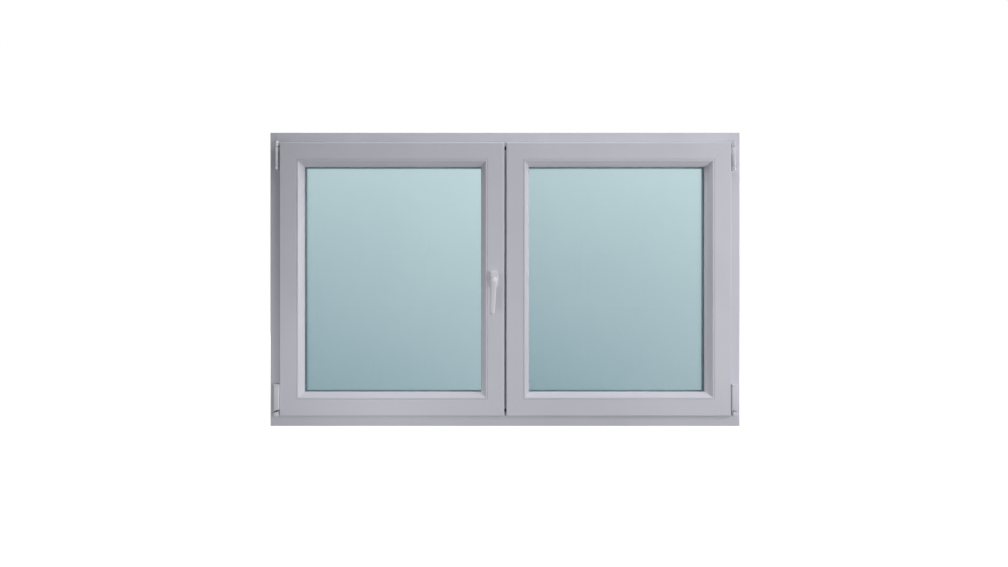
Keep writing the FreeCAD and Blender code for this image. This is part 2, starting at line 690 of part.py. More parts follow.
handle_screws = group("handle_screws", [
    cylinder("handle_screw", "y", ("spindle_x", "sash_front - rosette_depth + 2",
                                   f"mid_height {sign} handle_screw_pitch / 2"),
             "handle_screw_radius", "handle_screw_length + rosette_depth - 4") for sign in ("-", "+")])

lever = new_body("handle_lever")
grip = new_sketch(lever, "XZ_Plane", "rosette_depth + grip_stand_off - grip_thickness / 2")
closed_loop(grip, [("-grip_drift - grip_tip_width / 2", "-grip_length"),
                   ("grip_tip_width / 2 - grip_drift", "-grip_length"),
                   ("grip_width / 2", "grip_width / 2"), ("-grip_width / 2", "grip_width / 2")])
pad(lever, grip, "grip_thickness", centred=True)
grip_edges = [f"Edge{number}" for number in range(1, len(lever.Shape.Edges) + 1)]
round_edges(lever, grip_edges, "grip_round")
neck = new_sketch(lever, "XZ_Plane", "rosette_depth / 2")
circle(neck, ("0", "0"), "neck_radius")
pad(lever, neck, "rosette_depth / 2 + grip_stand_off - grip_thickness / 2")
square = new_sketch(lever, "XZ_Plane", "0")
half_side = "(spindle_side / 2 + plate_clearance / 2)"
rectangle(square, (f"-{half_side}", f"-{half_side}"), (half_side, half_side))
pocket(lever, square, "rosette_depth + 15", backwards=True)
bind(lever, "Placement.Base.x", "spindle_x")
bind(lever, "Placement.Base.y", "sash_front")
bind(lever, "Placement.Base.z", "mid_height")

spindle = box("handle_spindle", ("spindle_x - spindle_side / 2", "spindle_x + spindle_side / 2"),
              ("groove_axis + 6 - spindle_length - rosette_depth", "groove_axis + 6"),
              ("mid_height - spindle_side / 2", "mid_height + spindle_side / 2"))

# ---------------------------------------------------------------- upper hinges

pin_low = "(stay_joint - stay_bearing_length)"
barrel = cylinder("stay_barrel", "z", ("axis_x", "axis_y", pin_low), "bearing_radius",
                  "stay_bearing_length")
bracket = box("stay_bracket", ("axis_x - bearing_radius", "axis_x + bearing_radius"),
              ("axis_y", "room_face"), (pin_low, "stay_joint"))
pin_bore = cylinder("stay_pin_bore", "z", ("axis_x", "axis_y", f"{pin_low} + 8"),
                    "stay_pin_radius + turning_clearance / 3", "stay_bearing_length")
bracket_holes = [cylinder("stay_screw_hole", "y", ("axis_x", "axis_y + bearing_radius", height),
                          "screw_radius", "pin_stand_off") for height in SCREW_HEIGHTS]
stay_left = cut("stay_bearing_one", fuse("stay_casting", [barrel, bracket]),
                [pin_bore] + bracket_holes)
stay_bearings = group("stay_bearings", [stay_left, mirrored("stay_bearing_two", stay_left)])
stay_pin = cylinder("stay_pin_one", "z", ("axis_x", "axis_y", f"{pin_low} + 8"), "stay_pin_radius",
                    "stay_bearing_length - 8 + stay_eye_length - 2")
stay_pins = group("stay_pins", [stay_pin, mirrored("stay_pin_two", stay_pin)])
screws = [cylinder("stay_screw", "y", ("axis_x", "axis_y + bearing_radius", height), "screw_radius",
                   "steel_front - screw_tip_gap - axis_y - bearing_radius")
          for height in SCREW_HEIGHTS]
bearing_screws = group("bearing_screws", screws + [mirrored("stay_screw_copy", s) for s in screws])

eye_low = "(stay_joint + joint_clearance)"
strap_top = f"({eye_low} + strap_height - 4)"
arm_low = "(body_top + arm_lift)"
arm_top = f"({arm_low} + arm_thickness)"


def eye_and_strap(name):
    """The eye over the stay pin and the strap that leads back between frame and flange."""
    eye = cylinder(name, "z", ("axis_x", "axis_y", eye_low), "bearing_radius", "stay_eye_length")
    leg = box(name, ("axis_x", "axis_x + bearing_radius"), ("axis_y", "strap_back"),
              (eye_low, strap_top))
    strap = box(name, ("axis_x + bearing_radius - 1", "-frame_width / 2 + frame_base + 8"),
                ("strap_front", "strap_back"), (eye_low, "rebate_top - 1"))
    return [eye, leg, strap]


def arm_plate(name, reach):
    """The flat arm above the groove, joined to the strap past the jamb's inner face."""
    plate = box(name, ("-frame_width / 2 + frame_base + 2", reach),
                ("groove_axis - arm_width / 2", "groove_axis + arm_width / 2"), (arm_low, arm_top))
    joint = box(name, ("-frame_width / 2 + frame_base + 2", "-frame_width / 2 + frame_base + 8"),
                ("strap_front", "groove_axis"), (arm_low, "rebate_top - 1"))
    return [plate, joint]


eye_bore = cylinder("eye_bore", "z", ("axis_x", "axis_y", f"{eye_low} - 1"),
                    "stay_pin_radius + turning_clearance", "stay_eye_length - 1")
arm_pin = cylinder("arm_pin", "z", (arm_pin_x, "groove_axis", f"{arm_top} - arm_pin_length"),
                   "arm_pin_radius", "arm_pin_length")
arm_end = cylinder("arm_end", "z", (arm_pin_x, "groove_axis", arm_low), "arm_width / 2",
                   "arm_thickness")
stay_arm = cut("stay_arm", fuse("stay_arm_blank", eye_and_strap("stay_arm_eye")
                                + arm_plate("stay_arm_plate", arm_pin_x) + [arm_pin, arm_end]),
               [eye_bore])

band_plate = arm_plate("top_band_plate", "axis_x + top_band_reach")
band_foot = box("top_band_foot", ("axis_x + top_band_reach - top_band_foot", "axis_x + top_band_reach"),
                ("groove_axis - arm_width / 2", "groove_axis + arm_width / 2"),
                ("body_top", arm_low))
top_band_left = cut("top_band_left", fuse("top_band_blank", eye_and_strap("top_band_eye")
                                          + band_plate + [band_foot]), [eye_bore])
passive_top_band = mirrored("passive_top_band", top_band_left)

# ---------------------------------------------------------------- lower hinges

bearing_top = "(bearing_bottom + bearing_height)"
socket = cylinder("socket", "z", ("axis_x", "axis_y", "bearing_bottom"), "socket_radius",
                  "bearing_height")
socket_back = box("socket_back", ("axis_x - socket_radius", "axis_x + socket_radius"),
                  ("axis_y", "room_face"), ("bearing_bottom", bearing_top))
socket_bore = cylinder("socket_bore", "z", ("axis_x", "axis_y", "bearing_bottom + 1"),
                       "cup_radius + turning_clearance", "bearing_height")
corner_left = cut("corner_bearing_one", fuse("corner_casting", [socket, socket_back]), [socket_bore])
corner_bearings = group("corner_bearings", [corner_left, mirrored("corner_bearing_two", corner_left)])

cap_low = "(bearing_bottom - 1)"
cap_round = cylinder("cap_round", "z", ("axis_x", "axis_y", cap_low), "cap_radius", "cap_height")
cap_block = box("cap_block", ("axis_x - cap_radius", "axis_x + cap_radius"), ("axis_y", "room_face"),
                (cap_low, f"{cap_low} + cap_height - 0.5"))
inner_gap = "(socket_radius + plate_clearance)"
cap_hollow = cylinder("cap_hollow", "z", ("axis_x", "axis_y", f"{cap_low} - 1"), inner_gap,
                      "cap_height + 5")
cap_hollow_back = box("cap_hollow_back", (f"axis_x - {inner_gap}", f"axis_x + {inner_gap}"),
                      ("axis_y", "room_face + 1"), (f"{cap_low} - 1", f"{cap_low} + cap_height + 5"))
slope = doc.addObject("Part::Wedge", "cap_slope_cut")
for prop, text in (("Xmin", "0"), ("Xmax", "4 * cap_radius"), ("Ymin", "0"), ("Ymax", "2 * cap_slope"),
                   ("Zmin", "0"), ("Zmax", "4 * cap_radius"), ("X2min", "4 * cap_radius - 0.01"),
                   ("X2max", "4 * cap_radius"), ("Z2min", "0"), ("Z2max", "4 * cap_radius")):
    bind(slope, prop, text)
slope.Placement = FreeCAD.Placement(Vector(0, 0, 0), Rotation(Vector(1, 0, 0), -90))
bind(slope, "Placement.Base.x", "axis_x - 2 * cap_radius")
bind(slope, "Placement.Base.y", "axis_y - 2 * cap_radius")
bind(slope, "Placement.Base.z", f"{cap_low} + cap_height")
cap_left = cut("bearing_cap_one", fuse("cap_blank", [cap_round, cap_block]),
               [cap_hollow, cap_hollow_back, slope])
bearing_caps = group("bearing_caps", [cap_left, mirrored("bearing_cap_two", cap_left)])

cup_low = "(bearing_bottom + 1 + turning_clearance)"
cup = cylinder("cup", "z", ("axis_x", "axis_y", cup_low), "cup_radius",
               f"{bearing_top} - {cup_low}")
cup_hollow = box("cup_hollow", ("axis_x - trunnion_length / 2 - turning_clearance",
                                "axis_x + trunnion_length / 2 + turning_clearance"),
                 ("axis_y - trunnion_radius - 2", "axis_y + trunnion_radius + 0.5"),
                 ("tilt_height - trunnion_radius - turning_clearance", f"{bearing_top} + 1"))
swivel_cup = cut("active_swivel_cup", cup, [cup_hollow])

barrel_low = "band_bottom"
band_barrel = cylinder("band_barrel", "z", ("axis_x", "axis_y", barrel_low), "barrel_radius",
                       "band_length - cover_cap")
band_web = box("band_web", ("axis_x", "axis_x + barrel_radius + 2"), ("axis_y", "strap_back"),
               (barrel_low, "band_top - cover_cap"))
band_strap = box("band_strap", ("axis_x + barrel_radius", "body_side"),
                 ("strap_front", "strap_back"), (barrel_low, "band_top - cover_cap"))
band_leaf = box("band_leaf", ("body_side - leaf_plate", "body_side"), ("strap_front", "groove_axis + 6"),
                (barrel_low, "band_top - cover_cap"))
BAND = [band_barrel, band_web, band_strap, band_leaf]
stem = cylinder("band_stem", "z", ("axis_x", "axis_y", "tilt_height"), "stem_radius",
                "band_bottom + 2 - tilt_height")
trunnion = cylinder("trunnion", "x", ("axis_x - trunnion_length / 2", "axis_y", "tilt_height"),
                    "trunnion_radius", "trunnion_length")
active_lower_band = fuse("active_lower_band", BAND + [stem, trunnion])
journal = cylinder("journal", "z", ("axis_x", "axis_y", cup_low), "cup_radius",
                   f"{bearing_top} - {cup_low}")
passive_band_left = fuse("passive_band_left", BAND + [stem, journal])
passive_lower_band = mirrored("passive_lower_band", passive_band_left)

hollow_radius = "(barrel_radius + plate_clearance)"
cover_round = cylinder("cover_round", "z", ("axis_x", "axis_y", "band_bottom"), "cover_radius",
                       "band_length")
cover_side = box("cover_side", ("axis_x", "flange_side - cover_gap"),
                 ("axis_y - cover_radius + 1.5", "strap_front - cover_gap"), ("band_bottom", "band_top"))
cover_ridge = box("cover_ridge", ("axis_x + 3", "axis_x + 7"),
                  ("axis_y - cover_radius - 1", "axis_y"), ("band_bottom", "band_top - cover_cap"))
cover_hollow = cylinder("cover_hollow", "z", ("axis_x", "axis_y", "band_bottom - 1"), hollow_radius,
                        "band_length - cover_cap + 1")
cover_way = box("cover_way", ("axis_x - plate_clearance", "axis_x + barrel_radius + 2 + plate_clearance"),
                ("axis_y", "room_face"), ("band_bottom - 1", "band_top - cover_cap"))
cover_left = cut("band_cover_left", fuse("cover_blank", [cover_round, cover_side, cover_ridge]),
                 [cover_hollow, cover_way])
active_band_cover = group("active_band_cover", [cover_left])
passive_band_cover = mirrored("passive_band_cover", cover_left)

# ---------------------------------------------------------------- floating mullion and bolts

channel_depth = "(bolt_thickness + 2)"
mullion = new_body("mullion_profile")
section = new_sketch(mullion, "XY_Plane", "body_edge")
closed_loop(section, [
    ("mullion_face", "room_face"), ("meeting_body", "room_face"), ("meeting_body", "upstand_face"),
    ("meeting_body + mullion_cover", "upstand_face"), ("meeting_body + mullion_cover", "rear_face"),
    ("mullion_face - mullion_flange", "rear_face"), ("mullion_face - mullion_flange", "upstand_face"),
    ("mullion_face", "upstand_face"), ("mullion_face", channel_side),
    (f"mullion_face + {channel_depth}", channel_side),
    (f"mullion_face + {channel_depth}", channel_near), ("mullion_face", channel_near)])
steel_low = (f"mullion_face + {channel_depth} + {wall}", f"room_face + {wall}")
steel_high = (f"meeting_body - {wall}", f"sash_back - {wall}")
closed_loop(section, chamber(steel_low, steel_high))
closed_loop(section, chamber((f"mullion_face - mullion_flange + {wall}", f"upstand_face + {wall}"),
                             (f"meeting_body + mullion_cover - {wall}", f"rear_face - {wall}")))
pad(mullion, section, "body_top - body_edge")
ends = new_sketch(mullion, "YZ_Plane")
reach = "frame_section + mullion_trim"
rectangle(ends, ("sash_back", "body_edge - 1"), ("rear_face + 1", reach))
rectangle(ends, ("sash_back", f"frame_height - ({reach})"), ("rear_face + 1", "body_top + 1"))
pocket(mullion, ends, centred=True)

mullion_tube = new_body("mullion_tube")
tube_sketch = new_sketch(mullion_tube, "XY_Plane", "body_edge + steel_setback")
for inset in ("steel_clearance", "(steel_clearance + steel_wall)"):
    closed_loop(tube_sketch, chamber((f"{steel_low[0]} + {inset}", f"{steel_low[1]} + {inset}"),
                                     (f"{steel_high[0]} - {inset}", f"{steel_high[1]} - {inset}")))
pad(mullion_tube, tube_sketch, "body_top - body_edge - 2 * steel_setback")
passive_nodes.append(group("passive_steels", [sash_tube(f"passive_tube_{side}", side, RIGHT)
                                              for side in SIDES] + [mullion_tube]))


def end_block(name, low, high):
    """The block that closes the rebate at one end of the mullion, beside the bolt's way."""
    return box(name, (f"mullion_face + {channel_depth} + 1", "meeting_body"),
               ("room_face + 1", "sash_back"), (low, high))


mullion_caps = group("mullion_caps", [
    end_block("cap_low_block", "body_edge - cap_block_height", "body_edge"),
    end_block("cap_high_block", "body_top", "body_top + cap_block_height")])

bolt_near = "(mullion_face + 1)"
bolt_far = "(mullion_face + 1 + bolt_thickness)"
EDGE_BOLTS = []
for name, tip, tail in (("edge_bolt_top", "body_top - bolt_margin", "body_top - bolt_length"),
                        ("edge_bolt_bottom", "body_edge + bolt_margin", "body_edge + bolt_length")):
    sign = "-" if name.endswith("top") else "+"
    shoulder = f"({tip} {sign} (bolt_throw + joint_clearance + bolt_margin))"
    strip_span = (tail, shoulder) if sign == "-" else (shoulder, tail)
    tip_span = (shoulder, tip) if sign == "-" else (tip, shoulder)
    strip = box(name + "_strip", (bolt_near, bolt_far), rod_span, strip_span)
    nose = box(name + "_nose", (bolt_near, bolt_far),
               ("groove_axis - bolt_tip_width / 2", "groove_axis + bolt_tip_width / 2"), tip_span)
    EDGE_BOLTS.append(fuse(name, [strip, nose]))

keep_face = "(mullion_face - keep_thickness)"


def mullion_keep(height):
    centre = f"{height} + rod_travel / 4"
    plate = box("mullion_keep_plate", (keep_face, "mullion_face"), groove_span,
                (f"{centre} - keep_length / 2", f"{centre} + keep_length / 2"))
    lip = box("mullion_keep_lip", (f"{keep_face} - keep_lip + 1", keep_face),
              (f"{groove_near} + plate_clearance", f"{groove_near} + 2"),
              (f"{centre} - keep_length / 2", f"{centre} + keep_length / 2"))
    return fuse("mullion_keep", [plate, lip])


mullion_keeps = group("mullion_keeps", [mullion_keep(height) for height in lock_cam_heights])
head_plate = box("head_keep_plate", (f"{top_cam_x} - rod_travel / 4 - keep_length / 2",
                                     f"{top_cam_x} - rod_travel / 4 + keep_length / 2"),
                 groove_span, ("rebate_top - keep_thickness", "rebate_top"))
head_lip = box("head_keep_lip", (f"{top_cam_x} - rod_travel / 4 - keep_length / 2",
                                 f"{top_cam_x} - rod_travel / 4 + keep_length / 2"),
               (f"{groove_near} + plate_clearance", f"{groove_near} + 2"),
               ("rebate_top - keep_thickness - keep_lip + 1", "rebate_top - keep_thickness"))
head_keep = fuse("head_keep", [head_plate, head_lip])


def bolt_keep(name, low):
    plate = box(name, (f"{bolt_x} - keep_length / 4", f"{bolt_x} + keep_length / 4"), groove_span,
                (low, f"{low} + keep_thickness"))
    hole = cylinder(name, "z", (bolt_x, "groove_axis", f"{low} - 1"), "bolt_hole_radius",
                    "keep_thickness + 2")
    return cut(name, plate, [hole])


bolt_keeps = group("bolt_keeps", [bolt_keep("bolt_keep_low", "frame_base"),
                                  bolt_keep("bolt_keep_high", "rebate_top - keep_thickness")])

# ---------------------------------------------------------------- check and write

NODES = (frame_nodes + active_nodes + passive_nodes + EDGE_BOLTS + [
    frame_steels, frame_seal, lock_faceplate, lock_rod, gearbox, stay_guide, top_rod, rosette_body,
    handle_screws, lever, spindle, stay_bearings, stay_pins, bearing_screws, stay_arm,
    passive_top_band, corner_bearings, bearing_caps, swivel_cup, active_lower_band,
    passive_lower_band, active_band_cover, passive_band_cover, mullion, mullion_caps, mullion_keeps,
    head_keep, bolt_keeps])

doc.recompute()
for item in doc.Objects:
    if any(word in state for state in item.State for word in ("Invalid", "Error")):
        raise RuntimeError(f"{item.Label} did not recompute: {item.State}")
for node in NODES:
    if node.Shape.isNull() or not node.Shape.isValid() or not node.Shape.Solids:
        raise RuntimeError(f"{node.Label} has no valid solid")

os.makedirs("parts", exist_ok=True)
for node in NODES:
    node.Shape.exportStep(f"parts/{node.Label}.step")
print(len(NODES), "nodes written")
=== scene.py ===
import json
import math

import bmesh
import bpy
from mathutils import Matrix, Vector


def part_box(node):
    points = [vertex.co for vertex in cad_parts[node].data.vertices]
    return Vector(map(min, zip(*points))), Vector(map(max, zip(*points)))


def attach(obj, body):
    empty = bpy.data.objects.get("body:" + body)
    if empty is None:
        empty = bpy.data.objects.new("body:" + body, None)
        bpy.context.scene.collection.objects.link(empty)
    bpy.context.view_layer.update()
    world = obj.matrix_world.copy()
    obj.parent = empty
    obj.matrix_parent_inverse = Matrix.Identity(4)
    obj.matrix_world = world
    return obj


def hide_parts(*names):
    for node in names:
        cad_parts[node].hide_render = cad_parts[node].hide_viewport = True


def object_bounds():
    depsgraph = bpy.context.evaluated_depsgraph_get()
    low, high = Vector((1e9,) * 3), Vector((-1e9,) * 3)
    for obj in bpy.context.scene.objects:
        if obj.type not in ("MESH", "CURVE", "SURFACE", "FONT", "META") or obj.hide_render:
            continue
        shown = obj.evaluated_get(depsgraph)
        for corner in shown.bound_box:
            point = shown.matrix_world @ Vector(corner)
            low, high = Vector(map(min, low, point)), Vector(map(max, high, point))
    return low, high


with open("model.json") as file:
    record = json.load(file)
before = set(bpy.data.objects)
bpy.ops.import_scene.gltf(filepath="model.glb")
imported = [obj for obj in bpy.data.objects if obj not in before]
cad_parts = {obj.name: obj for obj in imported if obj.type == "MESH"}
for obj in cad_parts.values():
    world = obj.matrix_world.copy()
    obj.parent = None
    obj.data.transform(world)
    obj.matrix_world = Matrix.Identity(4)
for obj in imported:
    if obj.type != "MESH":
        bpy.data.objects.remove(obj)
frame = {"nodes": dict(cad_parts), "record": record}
cad_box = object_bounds()
nodes = frame["nodes"]
scene = bpy.context.scene

MM = 0.001



def span(node):
    """The lowest and highest corners of a CAD node's box."""
    low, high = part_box(node)
    return Vector(low), Vector(high)


# ---------------------------------------------------------------- colour and node helpers


def linear(hex_colour):
    """Turn an sRGB hex colour into the linear RGBA that a shader takes."""
    channels = [int(hex_colour[i:i + 2], 16) / 255 for i in (1, 3, 5)]
    return [c / 12.92 if c <= 0.04045 else ((c + 0.055) / 1.055) ** 2.4 for c in channels] + [1.0]


def add(tree, kind, settings=None, **inputs):
    """Add a node, give it its settings, and fill or link its inputs by name or by _index."""
    made = tree.nodes.new(kind)
    for name, value in (settings or {}).items():
        setattr(made, name, value)
    for name, value in inputs.items():
        socket = made.inputs[int(name[1:])] if name[1:].isdigit() else made.inputs[name.replace("_", " ")]
        if isinstance(value, bpy.types.NodeSocket):
            tree.links.new(value, socket)
        else:
            socket.default_value = value
    return made


def new_material(name):
    """An empty node material, and its tree."""
    material = bpy.data.materials.new(name)
    material.use_nodes = True
    material.node_tree.nodes.clear()
    return material, material.node_tree


def finish(tree, **inputs):
    """Close a material with one principled shader."""
    shader = add(tree, "ShaderNodeBsdfPrincipled", **inputs)
    add(tree, "ShaderNodeOutputMaterial", Surface=shader.outputs[0])


def two_tone(tree, factor, dark, light, low=0.35, high=0.65):
    """A colour between two close shades, led by a pattern."""
    spread = add(tree, "ShaderNodeMapRange", Value=factor, From_Min=low, From_Max=high)
    mix = add(tree, "ShaderNodeMix", {"data_type": "RGBA"}, Factor=spread.outputs[0],
              _6=linear(dark), _7=linear(light))
    return mix.outputs[2]


def cells(size):
    """The scale that gives a pattern cells of a size in mm, since coordinates are in metres."""
    return 1000 / size


# A noise pattern keeps mostly between these two values.
NOISE_SPREAD = {"From_Min": 0.3, "From_Max": 0.7}


# ---------------------------------------------------------------- materials


def extruded_pvc(name, stretch):
    """White PVC-U, pushed hot through a polished die: satin, with faint long streaks from the die."""
    material, tree = new_material(name)
    place = add(tree, "ShaderNodeTexCoord")
    along = add(tree, "ShaderNodeMapping", Vector=place.outputs["Object"], Scale=stretch)
    # The die's lines are hairs under 0.5 mm apart; they are drawn 4 mm apart, so that they show.
    streaks = add(tree, "ShaderNodeTexNoise", Vector=along.outputs[0], Scale=cells(4.0), Detail=2.0)
    gloss = add(tree, "ShaderNodeMapRange", Value=streaks.outputs["Fac"], To_Min=0.34, To_Max=0.44,
                **NOISE_SPREAD)
    cloud = add(tree, "ShaderNodeTexNoise", Vector=place.outputs["Object"], Scale=cells(330.0), Detail=3.0)
    skin = add(tree, "ShaderNodeTexNoise", Vector=place.outputs["Object"], Scale=cells(0.7), Detail=2.0)
    lines = add(tree, "ShaderNodeBump", Height=streaks.outputs["Fac"], Strength=0.05, Distance=0.0003)
    bump = add(tree, "ShaderNodeBump", Height=skin.outputs["Fac"], Strength=0.03, Distance=0.0001,
               Normal=lines.outputs["Normal"])
    colour = two_tone(tree, cloud.outputs["Fac"], "#E4E4EE", "#E9E9F3")
    finish(tree, Base_Color=colour, Roughness=gloss.outputs[0], IOR=1.53, Normal=bump.outputs["Normal"])
    return material


def scraped_weld():
    """The hot weld at a corner, scraped flush with a knife: a little greyer and duller."""
    material, tree = new_material("scraped_pvc_weld")
    place = add(tree, "ShaderNodeTexCoord")
    scrape = add(tree, "ShaderNodeTexNoise", Vector=place.outputs["Object"], Scale=cells(1.7), Detail=3.0)
    bump = add(tree, "ShaderNodeBump", Height=scrape.outputs["Fac"], Strength=0.12, Distance=0.0002)
    colour = two_tone(tree, scrape.outputs["Fac"], "#DEDEE5", "#E4E4EE")
    finish(tree, Base_Color=colour, Roughness=0.5, IOR=1.53, Normal=bump.outputs["Normal"])
    return material


def moulded_cap():
    """White ABS, moulded in a fine spark-eroded tool: an even, soft satin."""
    material, tree = new_material("moulded_white_abs")
    place = add(tree, "ShaderNodeTexCoord")
    grain = add(tree, "ShaderNodeTexNoise", Vector=place.outputs["Object"], Scale=cells(0.55), Detail=2.0)
    bump = add(tree, "ShaderNodeBump", Height=grain.outputs["Fac"], Strength=0.05, Distance=0.0001)
    gloss = add(tree, "ShaderNodeMapRange", Value=grain.outputs["Fac"], To_Min=0.34, To_Max=0.42,
                **NOISE_SPREAD)
    finish(tree, Base_Color=linear("#ECECF2"), Roughness=gloss.outputs[0], IOR=1.54,
           Normal=bump.outputs["Normal"])
    return material


def powder_coat():
    """White polyester powder, baked on cast metal: glossy, with a faint orange peel."""
    material, tree = new_material("white_powder_coat")
    place = add(tree, "ShaderNodeTexCoord")
    # The peel's cells are about 1.5 mm across.
    peel = add(tree, "ShaderNodeTexNoise", Vector=place.outputs["Object"], Scale=cells(1.5), Detail=1.0)
    bump = add(tree, "ShaderNodeBump", Height=peel.outputs["Fac"], Strength=0.08, Distance=0.0002)
    finish(tree, Base_Color=linear("#EFEFF5"), Roughness=0.27, IOR=1.5, Coat_Weight=0.25,
           Coat_Roughness=0.12, Normal=bump.outputs["Normal"])
    return material


def extruded_seal():
    """Grey EPDM rubber, extruded and cured: matt, with a dusty bloom."""
    material, tree = new_material("extruded_epdm_seal")
    place = add(tree, "ShaderNodeTexCoord")
    bloom = add(tree, "ShaderNodeTexNoise", Vector=place.outputs["Object"], Scale=cells(17.0), Detail=4.0)
    skin = add(tree, "ShaderNodeTexNoise", Vector=place.outputs["Object"], Scale=cells(0.6), Detail=2.0)
    bump = add(tree, "ShaderNodeBump", Height=skin.outputs["Fac"], Strength=0.15, Distance=0.0002)
    gloss = add(tree, "ShaderNodeMapRange", Value=bloom.outputs["Fac"], To_Min=0.55, To_Max=0.7,
                **NOISE_SPREAD)
    finish(tree, Base_Color=two_tone(tree, bloom.outputs["Fac"], "#5E6067", "#6B6D74"),
           Roughness=gloss.outputs[0], IOR=1.5, Normal=bump.outputs["Normal"])
    return material


def coextruded_seal():
    """Light grey thermoplastic rubber, extruded in one with the bead: smooth, with a dull sheen."""
    material, tree = new_material("coextruded_glazing_seal")
    place = add(tree, "ShaderNodeTexCoord")
    bloom = add(tree, "ShaderNodeTexNoise", Vector=place.outputs["Object"], Scale=cells(25.0), Detail=3.0)
    gloss = add(tree, "ShaderNodeMapRange", Value=bloom.outputs["Fac"], To_Min=0.5, To_Max=0.6,
                **NOISE_SPREAD)
    finish(tree, Base_Color=two_tone(tree, bloom.outputs["Fac"], "#D2D4D9", "#DCDEE2"),
           Roughness=gloss.outputs[0], IOR=1.5)
    return material


def zinc_plate():
    """Bright zinc plate on pressed steel: silvery, with a cloudy passivated film."""
    material, tree = new_material("zinc_plated_steel")
    place = add(tree, "ShaderNodeTexCoord")
    film = add(tree, "ShaderNodeTexNoise", Vector=place.outputs["Object"], Scale=cells(22.0), Detail=4.0)
    grain = add(tree, "ShaderNodeTexNoise", Vector=place.outputs["Object"], Scale=cells(0.8), Detail=2.0)
    bump = add(tree, "ShaderNodeBump", Height=grain.outputs["Fac"], Strength=0.06, Distance=0.0001)
    gloss = add(tree, "ShaderNodeMapRange", Value=film.outputs["Fac"], To_Min=0.26, To_Max=0.42,
                **NOISE_SPREAD)
    finish(tree, Base_Color=two_tone(tree, film.outputs["Fac"], "#B4B6BA", "#C9C9CB"), Metallic=1.0,
           Roughness=gloss.outputs[0], Normal=bump.outputs["Normal"])
    return material


def galvanised_sheet():
    """Hot-dip galvanised sheet, rolled into a tube: dull grey with crystal spangle."""
    material, tree = new_material("galvanised_steel")
    place = add(tree, "ShaderNodeTexCoord")
    # The spangle's crystals are about 7 mm across.
    spangle = add(tree, "ShaderNodeTexVoronoi", Vector=place.outputs["Object"], Scale=cells(7.0))
    tone = add(tree, "ShaderNodeSeparateColor", Color=spangle.outputs["Color"])
    gloss = add(tree, "ShaderNodeMapRange", Value=tone.outputs[1], To_Min=0.35, To_Max=0.5,
                **NOISE_SPREAD)
    finish(tree, Base_Color=two_tone(tree, tone.outputs[0], "#9A9DA1", "#B4B6B9", 0.0, 1.0), Metallic=1.0,
           Roughness=gloss.outputs[0])
    return material


def spacer_bar():
    """Light grey lacquered aluminium strip, with a row of breather holes for the drying beads inside."""
    material, tree = new_material("lacquered_aluminium_spacer")
    place = add(tree, "ShaderNodeTexCoord")
    # The breather holes are 3 mm apart.
    holes = add(tree, "ShaderNodeTexVoronoi", {"feature": "F1"}, Vector=place.outputs["Object"],
                Scale=cells(3.0), Randomness=0.0)
    finish(tree, Base_Color=two_tone(tree, holes.outputs["Distance"], "#9C9EA3", "#DCDEE2", 0.12, 0.2),
           Roughness=0.42)
    return material


def moulded_polyamide():
    """Dark glass-filled polyamide, moulded: matt, with a mottled fibre-rich skin."""
    material, tree = new_material("moulded_polyamide")
    place = add(tree, "ShaderNodeTexCoord")
    mottle = add(tree, "ShaderNodeTexNoise", Vector=place.outputs["Object"], Scale=cells(4.5), Detail=4.0)
    bump = add(tree, "ShaderNodeBump", Height=mottle.outputs["Fac"], Strength=0.1, Distance=0.0002)
    finish(tree, Base_Color=two_tone(tree, mottle.outputs["Fac"], "#3B3E43", "#4A4D52"), Roughness=0.5,
           IOR=1.53, Normal=bump.outputs["Normal"])
    return material


def clear_glass():
    """Clear float glass, flat on both faces: the slightest green, where iron is left in the melt."""
    material, tree = new_material("clear_float_glass")
    place = add(tree, "ShaderNodeTexCoord")
    # The melt is even to within a shade over some 300 mm.
    melt = add(tree, "ShaderNodeTexNoise", Vector=place.outputs["Object"], Scale=cells(330.0), Detail=1.0)
    finish(tree, Base_Color=two_tone(tree, melt.outputs["Fac"], "#FBFEFD", "#FDFFFE"), Roughness=0.0,
           IOR=1.52, Transmission_Weight=1.0)
    return material


def tinted_glass_painted_reflection():
    """Body-tinted float glass, flat on both faces: a pale blue-green, with a painted reflection that
    lightens it toward the top right, so that it deepens to the bottom left.
    """
    material, tree = new_material("tinted_float_glass_painted_reflection")
    place = add(tree, "ShaderNodeTexCoord")
    parts = add(tree, "ShaderNodeSeparateXYZ", Vector=place.outputs["Generated"])
    # Painted reflection: the colour lightens from the bottom left to the top right of the pane, in place
    # of a softbox's reflection in the glass.
    reflection_lean = add(tree, "ShaderNodeMath", {"operation": "MULTIPLY_ADD"}, _0=parts.outputs["X"], _1=0.42,
               _2=parts.outputs["Z"])
    reflection_share = add(tree, "ShaderNodeMapRange", Value=reflection_lean.outputs[0], From_Max=1.42)
    mix = add(tree, "ShaderNodeMix", {"data_type": "RGBA"}, Factor=reflection_share.outputs[0],
              _6=linear("#7F9CA7"), _7=linear("#BFD7DC"))
    finish(tree, Base_Color=mix.outputs[2], Roughness=0.0, IOR=1.52, Transmission_Weight=1.0)
    return material


PVC_ACROSS = extruded_pvc("extruded_pvc_rails", (0.01, 1.0, 1.0))
PVC_UPRIGHT = extruded_pvc("extruded_pvc_stiles", (1.0, 1.0, 0.01))
WELD = scraped_weld()
CAP = moulded_cap()
COATED = powder_coat()
SEAL = extruded_seal()
GLAZING_SEAL = coextruded_seal()
ZINC = zinc_plate()
GALVANISED = galvanised_sheet()
SPACER = spacer_bar()
POLYAMIDE = moulded_polyamide()
CLEAR_GLASS = clear_glass()
